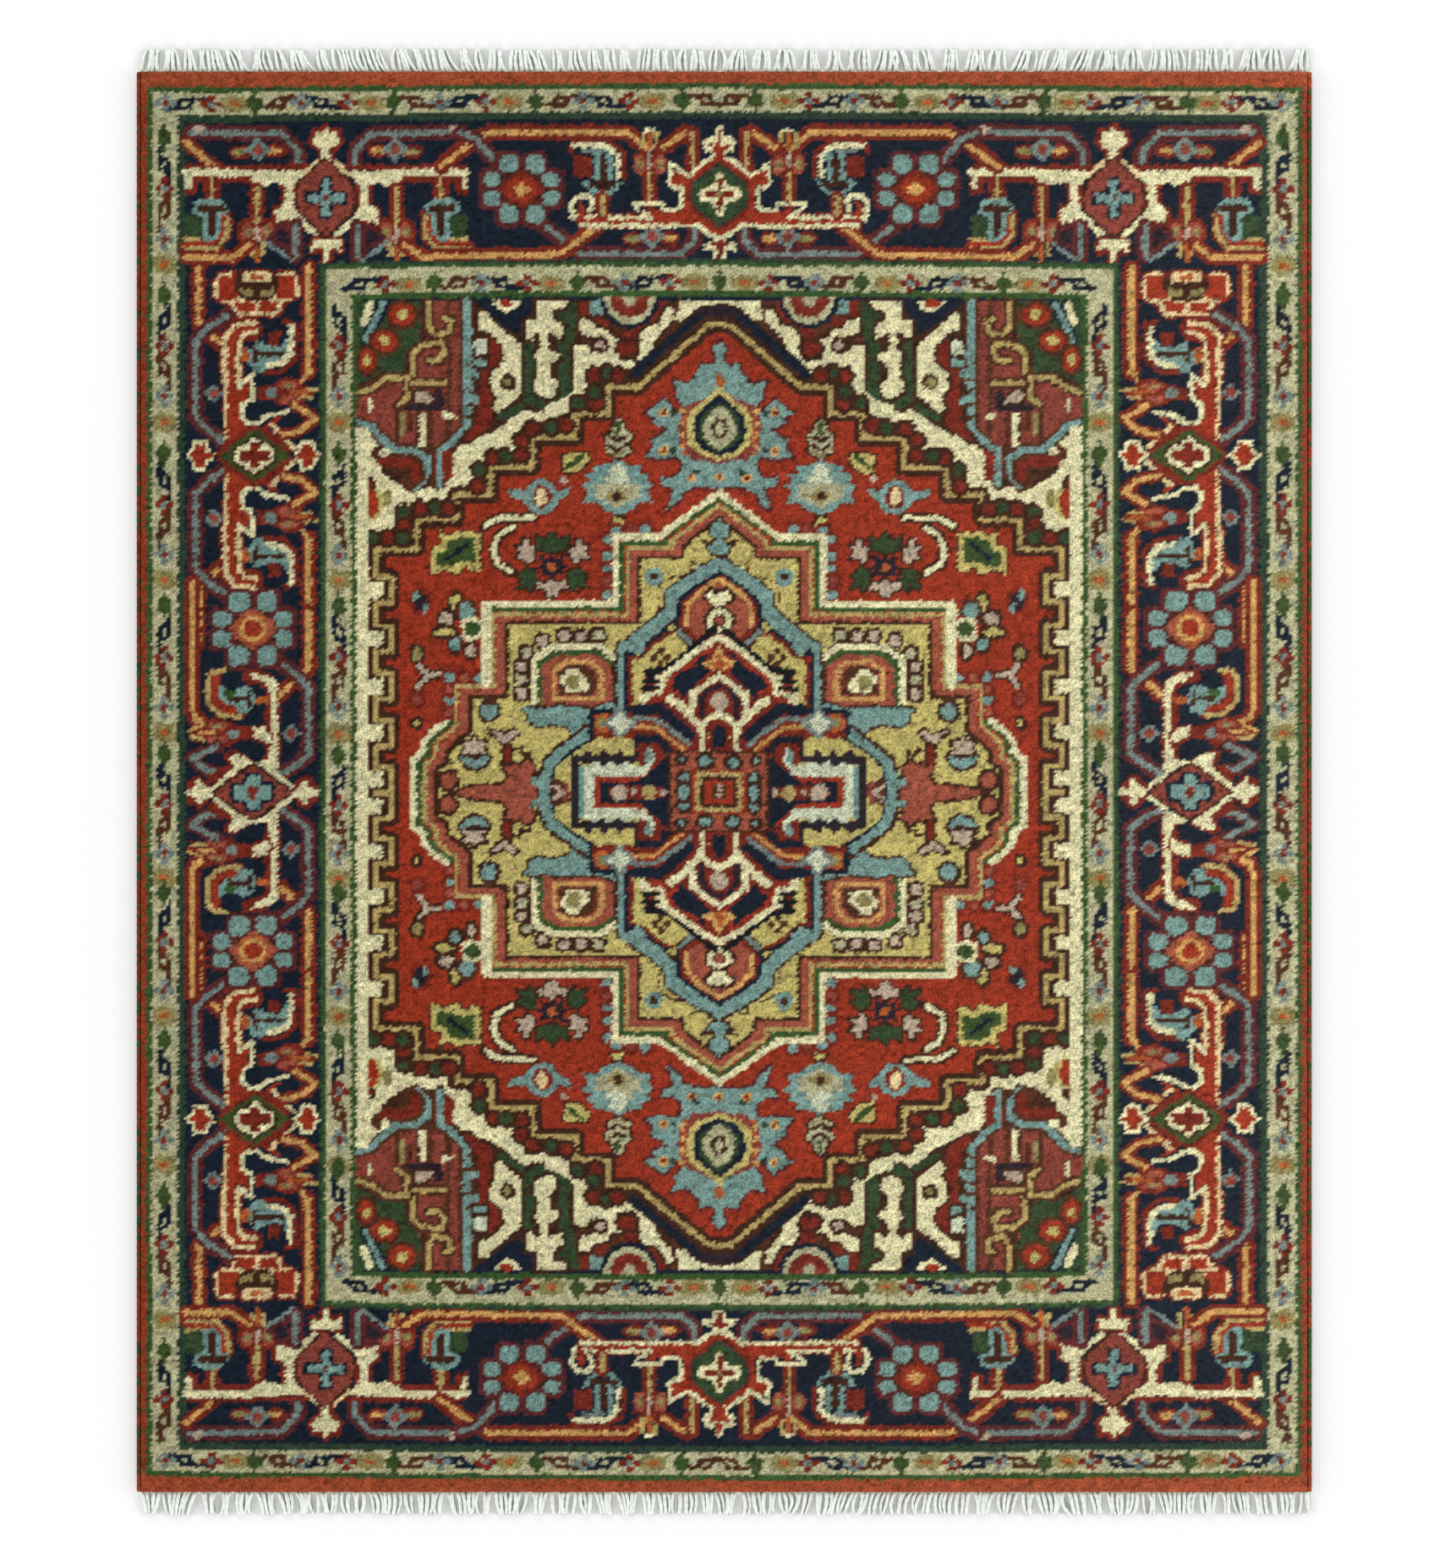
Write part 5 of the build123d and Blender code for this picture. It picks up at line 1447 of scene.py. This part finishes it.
class RUG_OT_border_pile(bpy.types.Operator):
    """Wool pile of the four nested frames"""
    bl_idname = "rug.border_pile"
    bl_label = "Border pile"

    def execute(self, context):
        slots = ("wool_red", "wool_beige", "wool_navy", "wool_beige")
        for step, (border, slot) in enumerate(zip(BORDERS, slots)):
            c0, c1 = SIDE_STEPS[step:step + 2]
            r0, r1 = END_STEPS[step:step + 2]
            sides = {"top": (c0, r0, COLUMNS - c0, r1), "bottom": (c0, ROWS - r1, COLUMNS - c0, ROWS - r0),
                     "left": (c0, r1, c1, ROWS - r1), "right": (COLUMNS - c1, r1, COLUMNS - c0, ROWS - r1)}
            for side, corners in sides.items():
                pile_panel(f"{border}_{side}", rectangle_mask(*corners))
        return {"FINISHED"}


class RUG_OT_field_pile(bpy.types.Operator):
    """Wool pile of the corners, the open field and the medallion"""
    bl_idname = "rug.field_pile"
    bl_label = "Field pile"

    def execute(self, context):
        zones = quarter_zones()
        upper, lower = (0, HALF_ROWS), (HALF_ROWS, ROWS)
        left, right = (0, HALF_COLUMNS), (HALF_COLUMNS, COLUMNS)
        for name, (c0, c1), (r0, r1) in (("nw", left, upper), ("ne", right, upper), ("sw", left, lower),
                                         ("se", right, lower)):
            here = rectangle_mask(c0, r0, c1, r1)
            pile_panel(f"spandrel_{name}", here & (zones == CORNER))
            pile_panel(f"field_{name}", here & (zones == FIELD))
        pile_panel("medallion", zones == LOZENGE)
        return {"FINISHED"}


class RUG_OT_selvedges(bpy.types.Operator):
    """Outer warps bundled and overcast with wool, one cord along each long side"""
    bl_idname = "rug.selvedges"
    bl_label = "Overcast sides"

    def execute(self, context):
        grid = weave()
        for side, column, beside in (("left", 0, 2), ("right", COLUMNS - SIDE_STEPS[0], COLUMNS - 2)):
            low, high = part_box(f"selvedge_{side}")
            middle, half = (low + high) / 2, (high - low) / 2
            bm = rod(12, 1, WRAPS)
            # the wound wool takes the weave's colours, painted light and sheen included
            layer = bm.verts.layers.float_color.new("Dye")
            for vert in bm.verts:
                t = 0.5 - vert.co.z
                j = min(int(t * ROWS * PARTS), ROWS * PARTS)
                turn = 1 + 0.05 * math.sin(t * WRAPS * 2.4 + vert.co.x)
                drift = grid.x[j, column * PARTS] - float(across(column))
                # painted shade: the wool darkens and lightens in step with the grooves and ridges of the
                # turns
                groove_shade = 0.92 + 0.10 * math.sin(t * WRAPS * 2.4)
                wound = np.clip(np.array(grid.colour[j, beside * PARTS]) * groove_shade, 0, 1)
                vert[layer] = (*wound.tolist(), 1)
                vert.co = (middle.x + drift + vert.co.x * half.x * turn * 1.05,
                           middle.y - (t - 0.5) * 2 * half.y,
                           middle.z + vert.co.y * half.z * turn)
            bmesh.ops.recalc_face_normals(bm, faces=bm.faces)
            rug_object(f"overcast_{side}", bm, overcast_wool(), f"selvedge_{side}")
        return {"FINISHED"}


class RUG_OT_end_bands(bpy.types.Operator):
    """Weft-faced cotton band beyond the last row of knots at each end"""
    bl_idname = "rug.end_bands"
    bl_label = "End bands"

    def execute(self, context):
        for end in ("top", "bottom"):
            low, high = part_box(f"end_band_{end}")
            bm = bmesh.new()
            bmesh.ops.create_grid(bm, x_segments=COLUMNS * 3, y_segments=BAND_WEFTS, size=0.5)
            for vert in bm.verts:
                t, s = vert.co.x + 0.5, vert.co.y + 0.5
                turned = math.pi if round(s * BAND_WEFTS) % 2 else 0
                rib = 0.00025 * math.sin(t * COLUMNS * 2 * math.pi + turned)
                crown = math.sin(math.pi * (0.12 + 0.76 * s))
                wobble = 0.0007 * math.sin(t * 37) * math.sin(t * 11 + 2)
                vert.co = (low.x + t * (high.x - low.x), low.y + s * (high.y - low.y) + wobble,
                           BAND_FOOT + (high.z - BAND_FOOT) * crown + rib)
            smooth_faces(bm)
            close_below(bm, 0.0)
            rug_object(f"woven_band_{end}", bm, band_cotton(), f"end_band_{end}")
        return {"FINISHED"}


def fringe_ends(rng, low, high, way, count, rod_points):
    """Points of each end of one fringe in turn; clumps of two to five lean, draw together and curl."""
    start, reach, wide = (low.y if way > 0 else high.y), high.y - low.y, high.x - low.x
    t = rod_points[:, 2] + 0.5
    left, drift = 0, 0.0
    for index in range(count):
        if left == 0:
            left = int(rng.integers(2, 6))
            heart = low.x + (index + left / 2) / count * wide
            drift = 0.8 * drift + rng.normal(0, 0.0014)
            lean, size, pinch = drift + rng.normal(0, 0.0018), rng.uniform(0.92, 1.0), rng.uniform(0.45, 0.85)
        left -= 1
        place = (index + 0.5 + rng.uniform(-0.3, 0.3)) / count
        root = low.x + FRINGE_INSET + place * (wide - 2 * FRINGE_INSET)
        tip = heart + (root - heart) * pinch + lean + rng.normal(0, 0.0006)
        tip = min(max(tip, low.x + 0.001), high.x - 0.001)
        length = reach * size * rng.uniform(0.94, 1.0)
        radius = rng.uniform(0.0019, 0.0024)
        curl, lift = rng.normal(0, 0.0013), rng.uniform(0.2, 1.6) * 0.001
        run = np.array([root + (tip - root) * t ** 0.8 + curl * np.sin(math.pi * t),
                        start + way * (length * t - FRINGE_TUCK * (1 - t)),
                        radius + 0.0011 * (1 - t) ** 2 + lift * np.sin(math.pi * t)]).T
        thick = radius * (1 + 0.18 * np.sin(t * 18 + index))
        spots = run + np.stack([rod_points[:, 0] * thick, np.zeros(len(t)), rod_points[:, 1] * thick], 1)
        spots[:, 2] = np.maximum(spots[:, 2], 0.0)
        yield spots.tolist()


class RUG_OT_fringes(bpy.types.Operator):
    """Free warp ends lying on the floor beyond each band, in small clumps"""
    bl_idname = "rug.fringes"
    bl_label = "Fringes"

    def execute(self, context):
        yarn = context.scene.rug_yarn
        rng = np.random.default_rng(yarn.seed + 5)
        pattern = rod(8, 0.8, 5)
        bmesh.ops.recalc_face_normals(pattern, faces=pattern.faces)
        one = bpy.data.meshes.new("fringe end pattern")
        pattern.to_mesh(one)
        pattern.free()
        rod_points = np.array([v.co[:] for v in one.vertices])
        for end, way in (("top", 1), ("bottom", -1)):
            low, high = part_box(f"fringe_{end}")
            bm = bmesh.new()
            for spots in fringe_ends(rng, low, high, way, COLUMNS * yarn.ends_per_column, rod_points):
                before = len(bm.verts)
                bm.from_mesh(one)
                bm.verts.ensure_lookup_table()
                for number, spot in enumerate(spots):
                    bm.verts[before + number].co = spot
            bmesh.ops.recalc_face_normals(bm, faces=bm.faces)
            rug_object(f"cotton_fringe_{end}", bm, fringe_cotton(), f"fringe_{end}")
        bpy.data.meshes.remove(one)
        return {"FINISHED"}


class RUG_OT_lay(bpy.types.Operator):
    """Takes no step of its own: the cloth is already a flat sheet laid on the floor, with its pile, sides,
    bands and fringe
    """
    bl_idname = "rug.lay"
    bl_label = "Lay the rug"

    def execute(self, context):
        return {"FINISHED"}


# ---------------------------------------------------------------- floor, light and camera

def pale_floor(scene):
    """Matte pale floor under the rug."""
    bm = bmesh.new()
    bmesh.ops.create_grid(bm, x_segments=1, y_segments=1, size=6)
    mesh = bpy.data.meshes.new("floor")
    bm.to_mesh(mesh)
    bm.free()
    paint = bpy.data.materials.new("Pale floor")
    paint.use_nodes = True
    shader = paint.node_tree.nodes["Principled BSDF"].inputs
    for label, value in (("Base Color", (0.89, 0.89, 0.89, 1)), ("Roughness", 0.9),
                         ("Specular IOR Level", 0.1)):
        shader[label].default_value = value
    mesh.materials.append(paint)
    floor = bpy.data.objects.new("floor", mesh)
    scene.collection.objects.link(floor)


def soft_light(scene, settings):
    """White surroundings, one lamp overhead and four low ones round the rug."""
    world = bpy.data.worlds.new("Studio")
    world.use_nodes = True
    sky = world.node_tree.nodes["Background"].inputs
    sky["Color"].default_value, sky["Strength"].default_value = (1, 1, 1, 1), 0.12
    scene.world = world
    lamps = [("overhead", settings.high, 4.0, (0.2, 0.2, 4.2))]
    for name, turn in (("right", 0), ("far", 90), ("left", 180), ("near", 270)):
        angle = math.radians(turn)
        lamps.append((name, settings.low, 3.2, (5.0 * math.cos(angle), 5.0 * math.sin(angle), 2.0)))
    for name, power, size, spot in lamps:
        data = bpy.data.lights.new(name, "AREA")
        data.energy, data.size = power, size
        lamp = bpy.data.objects.new(name, data)
        scene.collection.objects.link(lamp)
        lamp.location = spot
        lamp.rotation_euler = (-Vector(spot)).to_track_quat("-Z", "Y").to_euler()


def overhead_camera(scene, settings):
    """Camera straight above the rug that sees a set length of floor."""
    data = bpy.data.cameras.new("camera")
    data.lens, data.sensor_width = settings.lens, SENSOR
    camera = bpy.data.objects.new("camera", data)
    scene.collection.objects.link(camera)
    camera.location = (0.0008, -0.0023, settings.view_long * settings.lens / SENSOR + 0.010)
    scene.camera = camera
    scene.view_settings.view_transform = "Standard"


class RUG_OT_stage(bpy.types.Operator):
    """Pale floor, soft studio light and a camera looking straight down"""
    bl_idname = "rug.stage"
    bl_label = "Stage"

    def execute(self, context):
        pale_floor(context.scene)
        soft_light(context.scene, context.scene.rug_stage)
        overhead_camera(context.scene, context.scene.rug_stage)
        return {"FINISHED"}


BUILDERS = (RUG_OT_ground, RUG_OT_border_pile, RUG_OT_field_pile, RUG_OT_selvedges, RUG_OT_end_bands,
            RUG_OT_fringes, RUG_OT_lay, RUG_OT_stage)


class RUG_PT_panel(bpy.types.Panel):
    """Sizes, colours and the steps of the build"""
    bl_idname = "RUG_PT_panel"
    bl_label = "Knotted rug"
    bl_space_type = "VIEW_3D"
    bl_region_type = "UI"
    bl_category = "Rug"

    def draw(self, context):
        for title, group in (("Yarn", context.scene.rug_yarn), ("Dyes", context.scene.rug_dyes),
                             ("Stage", context.scene.rug_stage)):
            box = self.layout.box()
            box.label(text=title)
            for name in group.__annotations__:
                box.prop(group, name)
        for builder in BUILDERS:
            self.layout.operator(builder.bl_idname)


GROUPS = {"rug_yarn": RugYarn, "rug_dyes": RugDyes, "rug_stage": RugStage}


def register():
    for cls in (*GROUPS.values(), *BUILDERS, RUG_PT_panel):
        bpy.utils.register_class(cls)
    for name, group in GROUPS.items():
        setattr(bpy.types.Scene, name, PointerProperty(type=group))


def unregister():
    for name in GROUPS:
        delattr(bpy.types.Scene, name)
    for cls in reversed((*GROUPS.values(), *BUILDERS, RUG_PT_panel)):
        bpy.utils.unregister_class(cls)


def main():
    register()
    bpy.ops.rug.ground()
    bpy.ops.rug.border_pile()
    bpy.ops.rug.field_pile()
    bpy.ops.rug.selvedges()
    bpy.ops.rug.end_bands()
    bpy.ops.rug.fringes()
    bpy.ops.rug.lay()
    bpy.ops.rug.stage()


if __name__ == "__main__":
    main()
